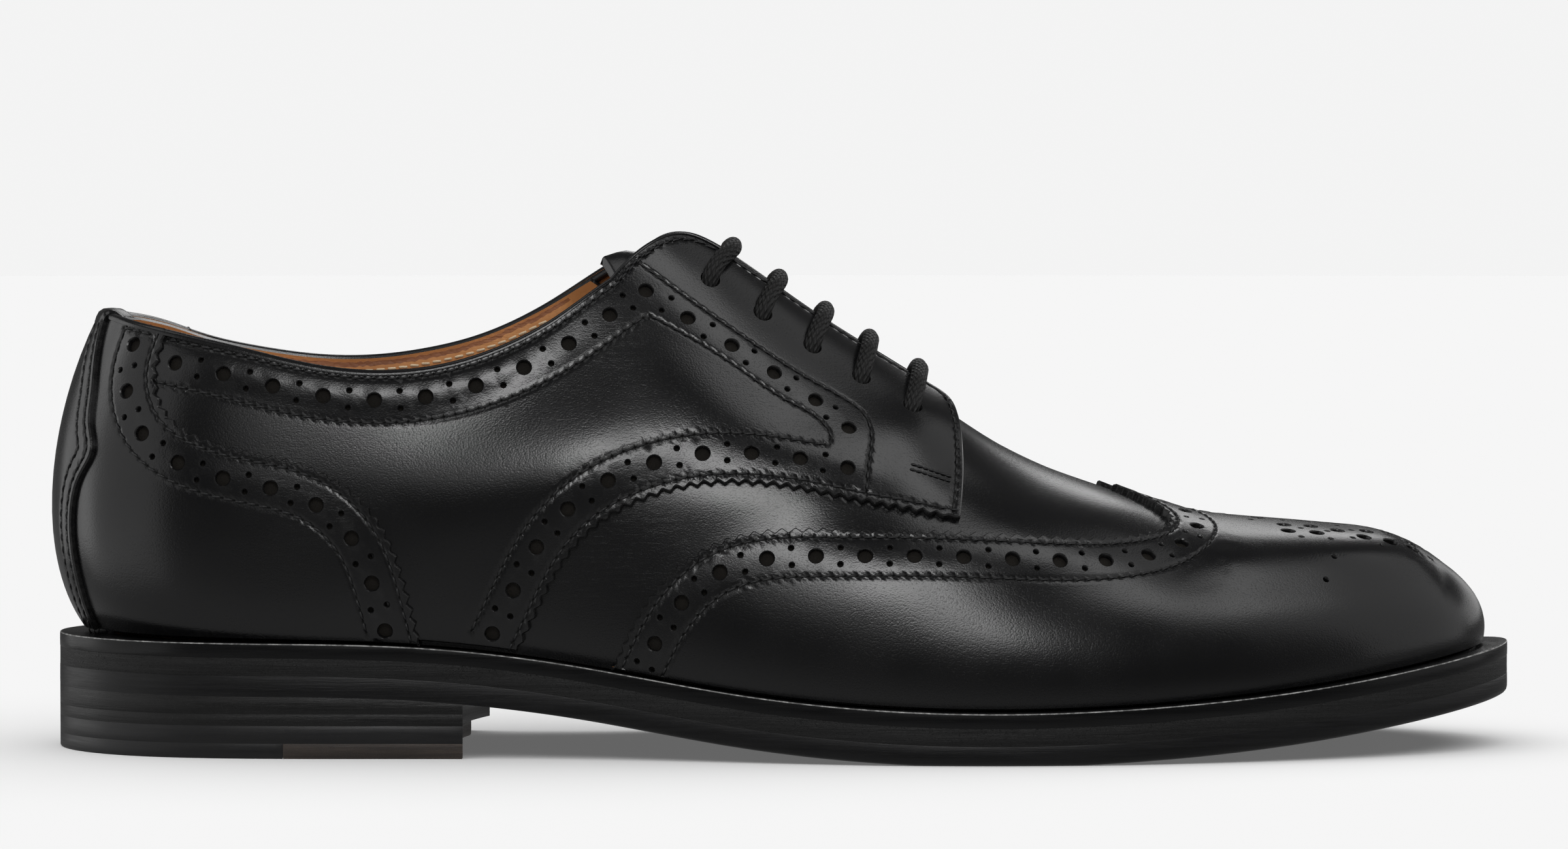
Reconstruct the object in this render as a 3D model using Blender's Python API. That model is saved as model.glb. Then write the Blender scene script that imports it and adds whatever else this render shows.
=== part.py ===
"""Brogue derby, right shoe: the toe points to +X, the outer side faces -Y, it stands on z = 0."""

import bpy
import numpy as np
from mathutils import Vector
from mathutils.geometry import delaunay_2d_cdt

# All sizes below are millimetres and are turned to metres when a mesh is made.
MM = 0.001

# Leather
WALL = 1.9
PANEL_GAP = 0.55
PANEL_TOP = 1.5
COUNTER_TOP = 2.4
STRIP_BOTTOM = 2.75
STRIP_TOP = 3.7
STRIP_ARCH = 0.014
TONGUE_TOP = 0.2
TONGUE_THICK = 1.8
TONGUE_SINK = 8.5
TONGUE_SINK_FROM = 2.0
TONGUE_SINK_TO = -38.0

# The facings stand up over the tongue near the throat.
LIFT_FROM = 0.55
LIFT_TO = 0.90
LIFT_TOP = 2.6
LIFT_BOTTOM = 0.8
THROAT_EDGE = 0.925
SLOT_EDGE = 0.665
TONGUE_EDGE = 0.688

# Sole layers, measured down from the welt's top
FOOT_GAP = 0.3
WELT_BOTTOM = 2.9
MIDSOLE_TOP = 3.2
MIDSOLE_BOTTOM = 6.5
OUTSOLE_TOP = 6.8
OUTSOLE_BOTTOM = 10.9
EDGE_BEVEL = 1.1
WELT_INSIDE = 2.5
INSOLE_INSIDE = 2.95
INSOLE_TOP = 1.9
INSOLE_BOTTOM = 2.8

# Heel
BREAST_LATERAL = -65.5
BREAST_MEDIAL = -63.3
BREAST_HOLLOW = 5.0
LIFT_GAP = 0.3
LIFT_FLOOR = 9.1
TOP_PIECE = 3.1
INSET_BACK = -104.0
INSET_GAP = 0.2
CORNER_ALONG = 4.0
CORNER_ACROSS = 11.0

# Lace
LACE_RADIUS = 1.65
LACE_CLEAR = 0.4
LACE_SIDES = 8
EYELET_RADIUS = 2.3
EYELET_SIDES = 10

# Feather line in plan and the section standing on each of its points: `spine` is where the section
# meets the ridge, `lean` its outward tilt at the welt, `rise` and `crown` the pull of its lower and
# upper half, `margin` how far the welt stands out.
SECTIONS = [
    # name              x       y      spine   lean  rise  crown margin
    ("heel_back",      -140.8,   0.0, -103.5,  47.5, 29.5, 38.5, 10.8),
    ("heel_corner_l",  -132.0, -18.5, -100.5,  41.0, 29.5, 33.0,  8.4),
    ("heel_side_l",    -111.0, -27.5,  -89.5,  27.0, 29.0, 27.0,  5.8),
    ("heel_front_l",    -80.0, -29.5,  -65.0,  21.0, 29.0, 25.0,  4.6),
    ("waist_l",         -42.0, -32.5,  -34.0,  18.0, 28.0, 24.0,  3.8),
    ("joint_l",          -5.0, -39.5,   -3.0,  15.0, 26.0, 25.0,  4.4),
    ("ball_l",           32.0, -44.5,   31.0,  12.0, 23.0, 28.0,  5.2),
    ("vamp_l",           65.0, -42.5,   60.0,  10.0, 20.0, 29.0,  5.6),
    ("toe_rear_l",       97.0, -34.5,   85.0,  11.0, 17.5, 25.0,  6.0),
    ("toe_side_l",      122.5, -23.8,  103.0,  14.0, 15.5, 20.0,  6.3),
    ("toe_corner_l",    139.2, -10.0,  112.0,  18.5, 14.0, 16.5,  6.7),
    ("toe_tip",         145.2,   6.0,  115.5,  21.0, 13.5, 15.5,  7.0),
    ("toe_corner_m",    139.6,  21.5,  112.0,  18.5, 14.0, 16.5,  6.7),
    ("toe_side_m",      124.5,  33.2,  103.0,  14.0, 15.5, 20.0,  6.3),
    ("toe_rear_m",      101.0,  41.0,   85.0,  11.0, 17.5, 25.0,  6.0),
    ("vamp_m",           73.0,  45.5,   60.0,  10.0, 20.0, 29.0,  5.6),
    ("ball_m",           42.0,  43.0,   31.0,  12.0, 23.0, 28.0,  5.2),
    ("joint_m",           5.0,  34.5,   -3.0,  15.0, 26.0, 25.0,  4.0),
    ("waist_m",         -37.0,  27.0,  -34.0,  18.0, 28.0, 24.0,  3.4),
    ("heel_front_m",    -79.0,  27.5,  -65.0,  21.0, 29.0, 25.0,  4.4),
    ("heel_side_m",    -111.0,  27.0,  -89.5,  27.0, 29.0, 27.0,  5.8),
    ("heel_corner_m",  -132.0,  18.5, -100.5,  41.0, 29.5, 33.0,  8.4),
]

# Ridge over the instep, vamp and toe
RIDGE = [
    # x       y      z
    (-120.0, 0.0, 117.0),
    (-95.0,  0.0, 118.0),
    (-62.0,  1.0, 117.2),
    (-34.0,  2.5, 112.0),
    (-15.0,  3.5, 101.8),
    (5.0,    4.5,  87.6),
    (25.0,   5.0,  75.0),
    (37.0,   5.2,  67.6),
    (51.0,   5.4,  60.0),
    (66.0,   5.6,  53.6),
    (80.0,   6.0,  48.5),
    (92.0,   6.0,  46.5),
    (106.0,  6.0,  45.3),
    (118.0,  6.0,  44.0),
]

# Top of the welt in side view: heel seat, arch, ball, toe spring
SEAT = [
    # x      z
    (-152.0, 24.0),
    (-110.0, 23.6),
    (-75.0,  22.8),
    (-45.0,  19.6),
    (-10.0,  14.0),
    (20.0,   11.2),
    (45.0,   10.6),
    (75.0,   11.6),
    (105.0,  14.2),
    (130.0,  17.8),
    (152.0,  21.6),
]

# Pattern lines on the last: `x` along the shoe, `share` of the way from the welt (0) to the ridge (1)
TOPLINE = [
    # x      lateral medial
    (-139.0, 0.600, 0.600),
    (-134.5, 0.585, 0.589),
    (-126.0, 0.558, 0.560),
    (-112.0, 0.521, 0.524),
    (-98.0,  0.494, 0.504),
    (-86.0,  0.485, 0.503),
    (-75.0,  0.491, 0.516),
    (-65.0,  0.513, 0.543),
    (-55.0,  0.553, 0.588),
    (-45.5,  0.613, 0.651),
    (-36.0,  0.700, 0.735),
]
INSTEP_CORNER = [
    # x     share
    (-31.5, 0.772),
    (-28.3, 0.820),
    (-24.5, 0.872),
    (-20.0, 0.910),
    (-14.0, 0.925),
]
FACING_FRONT = [
    # x    share
    (27.0, 0.925),
    (31.5, 0.905),
    (34.2, 0.840),
    (35.8, 0.735),
    (36.2, 0.620),
    (35.5, 0.500),
]
QUARTER_FOOT = [
    # x    share
    (35.5, 0.500),
    (16.0, 0.470),
    (-1.0, 0.438),
    (-15.0, 0.397),
    (-28.0, 0.340),
    (-38.0, 0.277),
    (-44.5, 0.210),
    (-49.0, 0.135),
    (-55.0, 0.000),
]
COUNTER_EDGE = [
    # x      share
    (-126.0, 0.558),
    (-128.4, 0.480),
    (-126.6, 0.430),
    (-121.0, 0.387),
    (-110.0, 0.355),
    (-97.0,  0.328),
    (-88.0,  0.287),
    (-81.5,  0.225),
    (-77.5,  0.140),
    (-74.0,  0.000),
]
WING_EDGE = [
    # x    share
    (-35.0, 0.000),
    (-29.0, 0.140),
    (-20.0, 0.250),
    (-6.0,  0.335),
    (12.0,  0.392),
    (35.0,  0.457),
    (56.0,  0.520),
    (70.0,  0.590),
    (77.5,  0.680),
    (79.8,  0.780),
    (77.5,  0.870),
    (72.0,  0.945),
    (65.5,  1.000),
]
STRIP_HALF = [
    # share  half width, measured along the feather line
    (0.000, 10.0),
    (0.130, 12.6),
    (0.220, 12.8),
    (0.290, 14.3),
    (0.345, 17.2),
    (0.375, 17.4),
    (0.440, 15.2),
    (0.500, 12.6),
    (0.540, 13.8),
    (0.598, 15.6),
]
SLOT_END = [
    # x    share
    (18.0, 0.665),
    (24.0, 0.700),
    (28.5, 0.800),
    (30.2, 0.900),
    (30.6, 1.000),
]
TONGUE_FRONT = [
    # x    share
    (28.6, 1.000),
    (28.0, 0.900),
    (25.6, 0.800),
    (20.0, 0.700),
    (15.0, 0.688),
]
TONGUE_TOP_EDGE = [
    # x     share
    (-27.0, 0.688),
    (-32.5, 0.715),
    (-35.5, 0.770),
    (-37.5, 0.870),
    (-38.2, 1.000),
]
EYELETS = [
    # x    share
    (25.2, 0.755),
    (14.8, 0.768),
    (4.5,  0.775),
    (-5.8, 0.780),
    (-16.4, 0.787),
]

# Where the sections of the meshes stand, as shares of the rise
RISE_LINES = [0.06, 0.14, 0.23, 0.33, 0.43, 0.53, 0.63, 0.73, 0.83, 0.92]
LINE_STEP_ENDS = 6.0
LINE_STEP_SIDES = 12.0
EDGE_STEP = 6.5
POINT_SPACE = 3.6
EDGE_SPACE = 2.6
PLATE_STEP = 12.0
PATTERN_GIRTH = 85.0

LATERAL = "lateral"
MEDIAL = "medial"


def smoothstep(low, high, value):
    share = np.clip((value - low) / (high - low), 0.0, 1.0)
    return share * share * (3.0 - 2.0 * share)


def open_spline(places, values):
    """A natural cubic through the values, straight beyond both ends; slope=True gives its slope."""
    places = np.asarray(places, float)
    values = np.asarray(values, float)
    count = len(places)
    gap = np.diff(places)
    rows = np.eye(count)
    right = np.zeros(count)
    for i in range(1, count - 1):
        rows[i, i - 1:i + 2] = gap[i - 1], 2.0 * (gap[i - 1] + gap[i]), gap[i]
        right[i] = 6.0 * ((values[i + 1] - values[i]) / gap[i] - (values[i] - values[i - 1]) / gap[i - 1])
    bend = np.linalg.solve(rows, right)

    def at(place, slope=False):
        place = np.asarray(place, float)
        held = np.clip(place, places[0], places[-1])
        i = np.clip(np.searchsorted(places, held, side="right") - 1, 0, count - 2)
        after = held - places[i]
        before = places[i + 1] - held
        chord = (values[i + 1] - values[i]) / gap[i]
        tangent = chord - (bend[i + 1] - bend[i]) * gap[i] / 6.0
        tangent = tangent + (bend[i + 1] * after ** 2 - bend[i] * before ** 2) / (2.0 * gap[i])
        if slope:
            return tangent
        curve = (bend[i] * before ** 3 + bend[i + 1] * after ** 3) / (6.0 * gap[i])
        curve = curve + (values[i] / gap[i] - bend[i] * gap[i] / 6.0) * before
        curve = curve + (values[i + 1] / gap[i] - bend[i + 1] * gap[i] / 6.0) * after
        return curve + tangent * (place - held)

    return at


def ring_spline(places, length, values):
    """A smooth closed cubic through the values; the places run once round the given length."""
    places = np.asarray(places, float)
    values = np.asarray(values, float)
    count = len(places)
    gap = np.diff(np.append(places, length))
    rows = np.zeros((count, count))
    right = np.zeros(count)
    for i in range(count):
        last = (i - 1) % count
        after = (i + 1) % count
        rows[i, last] += gap[last]
        rows[i, i] += 2.0 * (gap[last] + gap[i])
        rows[i, after] += gap[i]
        right[i] = 6.0 * ((values[after] - values[i]) / gap[i] - (values[i] - values[last]) / gap[last])
    bend = np.linalg.solve(rows, right)

    def at(place):
        place = np.mod(np.asarray(place, float), length)
        i = np.clip(np.searchsorted(places, place, side="right") - 1, 0, count - 1)
        j = (i + 1) % count
        after = place - places[i]
        before = gap[i] - after
        curve = (bend[i] * before ** 3 + bend[j] * after ** 3) / (6.0 * gap[i])
        curve = curve + (values[i] / gap[i] - bend[i] * gap[i] / 6.0) * before
        return curve + (values[j] / gap[i] - bend[j] * gap[i] / 6.0) * after

    return at


# The last: a point on it is (way, share), the way round the feather line and the share of the rise.
PLAN = np.array([row[1:3] for row in SECTIONS])
STEPS = np.linalg.norm(np.roll(PLAN, -1, axis=0) - PLAN, axis=1)
WAYS = np.concatenate([[0.0], np.cumsum(STEPS)[:-1]])
ROUND = float(STEPS.sum())
TOE_WAY = float(WAYS[[row[0] for row in SECTIONS].index("toe_tip")])

foot_x = ring_spline(WAYS, ROUND, [row[1] for row in SECTIONS])
foot_y = ring_spline(WAYS, ROUND, [row[2] for row in SECTIONS])
spine_x = ring_spline(WAYS, ROUND, [row[3] for row in SECTIONS])
lean_of = ring_spline(WAYS, ROUND, [row[4] for row in SECTIONS])
rise_of = ring_spline(WAYS, ROUND, [row[5] for row in SECTIONS])
crown_of = ring_spline(WAYS, ROUND, [row[6] for row in SECTIONS])
margin_of = ring_spline(WAYS, ROUND, [row[7] for row in SECTIONS])
ridge_y = open_spline([row[0] for row in RIDGE], [row[1] for row in RIDGE])
ridge_z = open_spline([row[0] for row in RIDGE], [row[2] for row in RIDGE])
seat_z = open_spline([row[0] for row in SEAT], [row[1] for row in SEAT])
topline_lateral = open_spline([row[0] for row in TOPLINE], [row[1] for row in TOPLINE])
topline_medial = open_spline([row[0] for row in TOPLINE], [row[2] for row in TOPLINE])
strip_half = open_spline([row[0] for row in STRIP_HALF], [row[1] for row in STRIP_HALF])


def section_pulls(way):
    """The four points that shape the section: foot, its pull, the ridge's pull, ridge."""
    fx = foot_x(way)
    fy = foot_y(way)
    sx = spine_x(way)
    sy = ridge_y(sx)
    fall = ridge_z(sx, slope=True)
    far = np.hypot(fx - sx, fy - sy)
    ux = (fx - sx) / far
    uy = (fy - sy) / far
    lean = np.radians(lean_of(way))
    foot = np.stack([fx, fy, seat_z(fx)], axis=-1)
    ridge = np.stack([sx, sy, ridge_z(sx)], axis=-1)
    up = np.stack([np.sin(lean) * ux, np.sin(lean) * uy, np.cos(lean)], axis=-1)
    out = np.stack([ux, uy, ux * fall], axis=-1)
    return foot, foot + rise_of(way)[..., None] * up, ridge + crown_of(way)[..., None] * out, ridge


def last_point(way, share):
    way, share = np.broadcast_arrays(np.asarray(way, float), np.asarray(share, float))
    foot, low, high, ridge = section_pulls(way)
    up = share[..., None]
    down = 1.0 - up
    return down ** 3 * foot + 3.0 * down ** 2 * up * low + 3.0 * down * up ** 2 * high + up ** 3 * ridge


def last_normal(way, share):
    way, share = np.broadcast_arrays(np.asarray(way, float), np.asarray(share, float))
    share = np.clip(share, 0.0, 0.995)
    along = last_point(way + 0.05, share) - last_point(way - 0.05, share)
    upward = last_point(way, share + 0.002) - last_point(way, share - 0.002)
    normal = np.cross(along, upward)
    return normal / np.linalg.norm(normal, axis=-1, keepdims=True)


def on_leather(way, share, height):
    """The last moved out by the height, kept clear of the welt."""
    point = last_point(way, share) + last_normal(way, share) * np.asarray(height)[..., None]
    point[..., 2] = np.maximum(point[..., 2], seat_z(point[..., 0]) + FOOT_GAP)
    return point


def flat_pattern(way, share):
    """The last spread flat: every section is laid down at its own length, straight out from the ridge."""
    foot, low, high, ridge = section_pulls(np.asarray(way, float))
    chord = np.linalg.norm(ridge - foot, axis=-1)
    hull = np.linalg.norm(low - foot, axis=-1) + np.linalg.norm(high - low, axis=-1)
    hull = hull + np.linalg.norm(ridge - high, axis=-1)
    out = foot[..., :2] - ridge[..., :2]
    out = out / np.linalg.norm(out, axis=-1, keepdims=True)
    return ridge[..., :2] + out * ((1.0 - np.asarray(share)) * (chord + hull) / 2.0)[..., None]


def way_at(side, x, share):
    """The way on one side where the last is x along the shoe at this share of the rise."""
    if side == LATERAL:
        ways = np.linspace(0.0, TOE_WAY, 500)
    else:
        ways = np.linspace(ROUND, TOE_WAY, 500)
    return float(np.interp(x, last_point(ways, share)[:, 0], ways))


def pattern_line(side, rows, step=EDGE_STEP):
    """A smooth line through rows of (x, share), as rows of (way, share) about a step apart."""
    rows = np.asarray(rows, float)
    run = np.hypot(np.diff(rows[:, 0]), np.diff(rows[:, 1]) * PATTERN_GIRTH)
    run = np.concatenate([[0.0], np.cumsum(run)])
    at = np.linspace(0.0, run[-1], max(2, int(round(run[-1] / step)) + 1))
    xs = open_spline(run, rows[:, 0])(at)
    shares = np.clip(open_spline(run, rows[:, 1])(at), 0.0, 1.0)
    return np.array([(way_at(side, x, share), share) for x, share in zip(xs, shares)])


def foot_line(start, end, step=EDGE_STEP):
    """The feather line from one way to another, ends left out."""
    count = max(2, int(abs(end - start) / step))
    ways = np.linspace(start, end, count + 1)[1:-1]
    return np.stack([ways, np.zeros(len(ways))], axis=1)


def stand_on_welt(loop, height):
    """Lift the foot of a loop so that leather of this height over the last stays clear of the welt."""
    lean = np.radians(lean_of(loop[:, 0]))
    lowest = (height * np.sin(lean) + FOOT_GAP) / (3.0 * rise_of(loop[:, 0]) * np.cos(lean))
    return np.stack([loop[:, 0], np.maximum(loop[:, 1], lowest)], axis=1)


def topline_rows(side, back, front):
    """Rows (x, share) of the collar's edge between two places along the shoe."""
    edge = topline_lateral if side == LATERAL else topline_medial
    count = max(2, int(abs(front - back) / EDGE_STEP))
    xs = np.linspace(back, front, count + 1)
    return [(x, float(edge(x))) for x in xs]


def join(*lines):
    """Lines one after another as a closed loop, without the points that two lines share."""
    kept = []
    for point in np.concatenate(lines):
        if kept and np.linalg.norm(flat_pattern(*point) - flat_pattern(*kept[-1])) < 0.3:
            continue
        kept.append(point)
    if np.linalg.norm(flat_pattern(*kept[0]) - flat_pattern(*kept[-1])) < 0.3:
        kept.pop()
    return np.array(kept)


def inside(points, loop):
    """True for every point that lies in the closed loop."""
    found = np.zeros(len(points), bool)
    for a, b in zip(loop, np.roll(loop, -1, axis=0)):
        crosses = (a[1] > points[:, 1]) != (b[1] > points[:, 1])
        rise = b[1] - a[1] if b[1] != a[1] else 1e-12
        found ^= crosses & (points[:, 0] < a[0] + (points[:, 1] - a[1]) * (b[0] - a[0]) / rise)
    return found


def edge_distance(points, loop):
    """How far every point lies from the closed loop."""
    nearest = np.full(len(points), 1e9)
    for a, b in zip(loop, np.roll(loop, -1, axis=0)):
        run = b - a
        share = np.clip(((points - a) @ run) / max(run @ run, 1e-12), 0.0, 1.0)
        nearest = np.minimum(nearest, np.linalg.norm(points - a - share[:, None] * run, axis=1))
    return nearest


def section_ways():
    """Where the sections of the meshes stand: close at heel and toe, wide along the sides."""
    ways = []
    way = 0.0
    while way < ROUND - 4.0:
        ways.append(way)
        from_end = min(way, abs(way - TOE_WAY), ROUND - way)
        way += LINE_STEP_ENDS + (LINE_STEP_SIDES - LINE_STEP_ENDS) * smoothstep(35.0, 80.0, from_end)
    return np.array(ways)


def grid_points(loop, holes):
    """Points of the section grid inside a loop of (way, share), spaced apart on the flat pattern."""
    ways, shares = np.meshgrid(section_ways(), RISE_LINES, indexing="ij")
    grid = np.stack([ways.ravel(), shares.ravel()], axis=1)
    ridge = [(way_at(LATERAL, x, 1.0), 1.0) for x in np.arange(-34.0, 112.0, 9.0)]
    grid = np.concatenate([grid, ridge])
    flat = flat_pattern(grid[:, 0], grid[:, 1])
    outer = flat_pattern(loop[:, 0], loop[:, 1])
    keep = inside(flat, outer) & (edge_distance(flat, outer) > EDGE_SPACE)
    for hole in holes:
        rim = flat_pattern(hole[:, 0], hole[:, 1])
        keep &= ~inside(flat, rim) & (edge_distance(flat, rim) > EDGE_SPACE)
    taken = []
    for point, place in zip(grid[keep], flat[keep]):
        if all(np.hypot(*(place - other[1])) > POINT_SPACE for other in taken):
            taken.append((point, place))
    return np.array([point for point, place in taken]).reshape(-1, 2)


def triangles_between(flat, loops):
    """Triangles that fill the outer loop and leave out the holes; loops are rows of point numbers."""
    edges = []
    for loop in loops:
        edges += [(int(a), int(b)) for a, b in zip(loop, np.roll(loop, -1))]
    found = delaunay_2d_cdt([Vector(p) for p in flat], edges, [], 1, 1e-6)
    origin = [source[0] for source in found[3]]
    faces = np.array([[origin[i] for i in face] for face in found[2]])
    middles = flat[faces].mean(axis=1)
    keep = inside(middles, flat[loops[0]])
    for hole in loops[1:]:
        keep &= ~inside(middles, flat[hole])
    return faces[keep].tolist()


def solid_from_sheet(name, triangles, faces_of, colour, roughness):
    """A closed solid: the sheet at the first level, the sheet turned over at the last, walls between."""
    count = len(faces_of[0])
    used = set()
    for a, b, c in triangles:
        used |= {(a, b), (b, c), (c, a)}
    rim = [(a, b) for a, b in used if (b, a) not in used]
    rim_points = sorted({a for a, b in rim})
    vertices = [Vector(p * MM) for p in faces_of[0]]
    number = [{i: i for i in range(count)}]
    for level in faces_of[1:-1]:
        number.append({i: len(vertices) + k for k, i in enumerate(rim_points)})
        vertices += [Vector(level[i] * MM) for i in rim_points]
    number.append({i: len(vertices) + i for i in range(count)})
    vertices += [Vector(p * MM) for p in faces_of[-1]]
    faces = [tuple(face) for face in triangles]
    faces += [tuple(number[-1][i] for i in reversed(face)) for face in triangles]
    for upper, lower in zip(number[:-1], number[1:]):
        faces += [(upper[b], upper[a], lower[a], lower[b]) for a, b in sorted(rim)]
    return make_object(name, vertices, faces, colour, roughness)


def make_object(name, vertices, faces, colour, roughness):
    """A mesh object with outward faces and its own material."""
    volume = 0.0
    for face in faces:
        for i in range(1, len(face) - 1):
            a, b, c = (vertices[face[k]] for k in (0, i, i + 1))
            volume += a.dot(b.cross(c))
    if volume < 0.0:
        faces = [tuple(reversed(face)) for face in faces]
    mesh = bpy.data.meshes.new(name)
    mesh.from_pydata([tuple(v) for v in vertices], [], faces)
    mesh.update()
    material = bpy.data.materials.new(name)
    material.use_nodes = True
    shader = material.node_tree.nodes["Principled BSDF"]
    shader.inputs["Base Color"].default_value = (*colour, 1.0)
    shader.inputs["Roughness"].default_value = roughness
    mesh.materials.append(material)
    item = bpy.data.objects.new(name, mesh)
    bpy.context.scene.collection.objects.link(item)
    return item


def leather_panel(name, loop, top, bottom, holes=(), colour=(0.02, 0.02, 0.022), roughness=0.35):
    """A piece cut from the last's surface; top and bottom give its heights over the last."""
    loop = stand_on_welt(loop, float(top(loop).max()))
    parts = [loop, *holes]
    points = np.concatenate([*parts, grid_points(loop, holes)])
    starts = np.cumsum([0] + [len(part) for part in parts])
    loops = [np.arange(a, b) for a, b in zip(starts[:-1], starts[1:])]
    triangles = triangles_between(flat_pattern(points[:, 0], points[:, 1]), loops)
    levels = [on_leather(points[:, 0], points[:, 1], height(points)) for height in (top, bottom)]
    return solid_from_sheet(name, triangles, levels, colour, roughness)


def even(height):
    return lambda points: np.full(len(points), height)


def quarter_top(points):
    return PANEL_TOP + LIFT_TOP * smoothstep(LIFT_FROM, LIFT_TO, points[:, 1])


def quarter_bottom(points):
    return PANEL_GAP + LIFT_BOTTOM * smoothstep(LIFT_FROM, LIFT_TO, points[:, 1])


def tongue_top(points):
    x = last_point(points[:, 0], points[:, 1])[:, 0]
    return TONGUE_TOP - TONGUE_SINK * smoothstep(TONGUE_SINK_FROM, TONGUE_SINK_TO, x)


def tongue_bottom(points):
    return tongue_top(points) - TONGUE_THICK


def make_upper():
    def half(side):
        collar = pattern_line(side, topline_rows(side, -137.0, -41.0))
        slot = pattern_line(side, [(-35.5, SLOT_EDGE), (SLOT_END[0][0], SLOT_EDGE)], 10.0)
        return np.concatenate([collar, slot, pattern_line(side, SLOT_END)])

    opening = join([(0.0, TOPLINE[0][1])], half(LATERAL), half(MEDIAL)[::-1])
    foot = np.stack([section_ways(), np.zeros(len(section_ways()))], axis=1)
    leather_panel("upper", foot, even(0.0), even(-WALL), holes=[opening])


def make_wing_cap():
    lateral = pattern_line(LATERAL, WING_EDGE)
    medial = pattern_line(MEDIAL, WING_EDGE)
    foot = foot_line(medial[0][0], lateral[0][0], 6.0)
    leather_panel("wing_cap", join(lateral, medial[::-1], foot), even(PANEL_TOP), even(PANEL_GAP))


def eyelet_rim(side, x, share):
    """A round hole in the facing, worked out on the leather itself."""
    way = way_at(side, x, share)
    along = (last_point(way + 0.5, share) - last_point(way - 0.5, share))
    upward = (last_point(way, share + 0.005) - last_point(way, share - 0.005)) * 100.0
    turn = np.linspace(0.0, 2.0 * np.pi, EYELET_SIDES, endpoint=False)
    first = along / np.linalg.norm(along)
    second = upward - first * (upward @ first)
    second = second / np.linalg.norm(second)
    frame = np.linalg.pinv(np.stack([along, upward], axis=1))
    ring = EYELET_RADIUS * (np.cos(turn)[:, None] * first + np.sin(turn)[:, None] * second)
    moves = ring @ frame.T
    return np.stack([way + moves[:, 0], share + moves[:, 1]], axis=1)


def make_quarter(side):
    front = pattern_line(side, FACING_FRONT, 5.0)
    low = pattern_line(side, QUARTER_FOOT)
    edge = [(x + 0.5, share) for x, share in COUNTER_EDGE[::-1]]
    counter = pattern_line(side, edge)
    collar = pattern_line(side, topline_rows(side, -125.0, -36.0))
    corner = pattern_line(side, [(-36.0, collar[-1][1])] + INSTEP_CORNER, 4.0)
    throat = pattern_line(side, [(INSTEP_CORNER[-1][0], THROAT_EDGE), (FACING_FRONT[0][0], THROAT_EDGE)], 9.0)
    foot = foot_line(low[-1][0], counter[0][0])
    loop = join(low, foot, counter, collar, corner, throat, front)
    holes = [eyelet_rim(side, x, share) for x, share in EYELETS]
    leather_panel("quarter_" + side, loop, quarter_top, quarter_bottom, holes=holes)


def make_counter(side):
    edge = pattern_line(side, COUNTER_EDGE)
    seam = 0.35 if side == LATERAL else ROUND - 0.35
    foot = foot_line(edge[-1][0], seam, 6.0)
    back = np.array([(seam, share) for share in np.linspace(0.0, TOPLINE[0][1], 9)])
    collar = pattern_line(side, topline_rows(side, -137.0, -127.5))
    leather_panel("counter_" + side, join(edge, foot, back, collar), even(COUNTER_TOP), even(PANEL_GAP))


def make_back_strip():
    shares = np.linspace(0.0, STRIP_HALF[-1][0], 15)
    half = strip_half(shares)
    lateral = np.stack([half, shares], axis=1)
    medial = np.stack([-half, shares], axis=1)
    across = np.linspace(-half[-1], half[-1], 7)[1:-1]
    arch = STRIP_HALF[-1][0] + STRIP_ARCH * (1.0 - (across / half[-1]) ** 2)
    top = np.stack([across[::-1], arch], axis=1)
    foot = np.stack([np.linspace(-half[0], half[0], 5)[1:-1], np.zeros(3)], axis=1)
    leather_panel("back_strip", join(lateral, top, medial[::-1], foot), even(STRIP_TOP), even(STRIP_BOTTOM))


def make_tongue():
    def half(side):
        front = pattern_line(side, TONGUE_FRONT, 5.0)
        edge = pattern_line(side, [(TONGUE_FRONT[-1][0], TONGUE_EDGE), (-27.0, TONGUE_EDGE)], 9.0)
        return np.concatenate([front, edge, pattern_line(side, TONGUE_TOP_EDGE, 5.0)])

    loop = join(half(LATERAL), half(MEDIAL)[::-1])
    leather_panel("tongue", loop, tongue_top, tongue_bottom, roughness=0.45)


def sole_outline(ways, margin):
    """The feather line in plan moved out by the margin."""
    run = np.stack([foot_x(ways + 0.05) - foot_x(ways - 0.05), foot_y(ways + 0.05) - foot_y(ways - 0.05)], axis=1)
    run = run / np.linalg.norm(run, axis=1, keepdims=True)
    out = np.stack([run[:, 1], -run[:, 0]], axis=1)
    return np.stack([foot_x(ways), foot_y(ways)], axis=1) + out * np.asarray(margin)[..., None]


def rib_points(outline):
    """Points across a plate, so that it follows the seat's curve."""
    xs = np.arange(-144.0, 146.0, PLATE_STEP)
    grid = np.array([(x, y) for x in xs for y in (-36.0, -18.0, 0.0, 18.0, 36.0)])
    return grid[inside(grid, outline) & (edge_distance(grid, outline) > 5.0)]


def plate(name, loops, ribs, levels, colour, roughness):
    """A layer of the sole: every level gives the places of the same plan points."""
    points = np.concatenate([*loops, ribs]) if len(ribs) else np.concatenate(loops)
    starts = np.cumsum([0] + [len(loop) for loop in loops])
    numbers = [np.arange(a, b) for a, b in zip(starts[:-1], starts[1:])]
    triangles = triangles_between(points, numbers)
    return solid_from_sheet(name, triangles, [level(points) for level in levels], colour, roughness)


def under_seat(depth):
    return lambda points: np.column_stack([points, seat_z(points[:, 0]) - depth])


def flat_level(height):
    return lambda points: np.column_stack([points, np.full(len(points), height)])


def outsole_floor(points):
    """Underside of the outsole: arch, toe spring and a flat tread at the ball."""
    return np.maximum(seat_z(points[:, 0]) - OUTSOLE_BOTTOM, 0.0)


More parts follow.
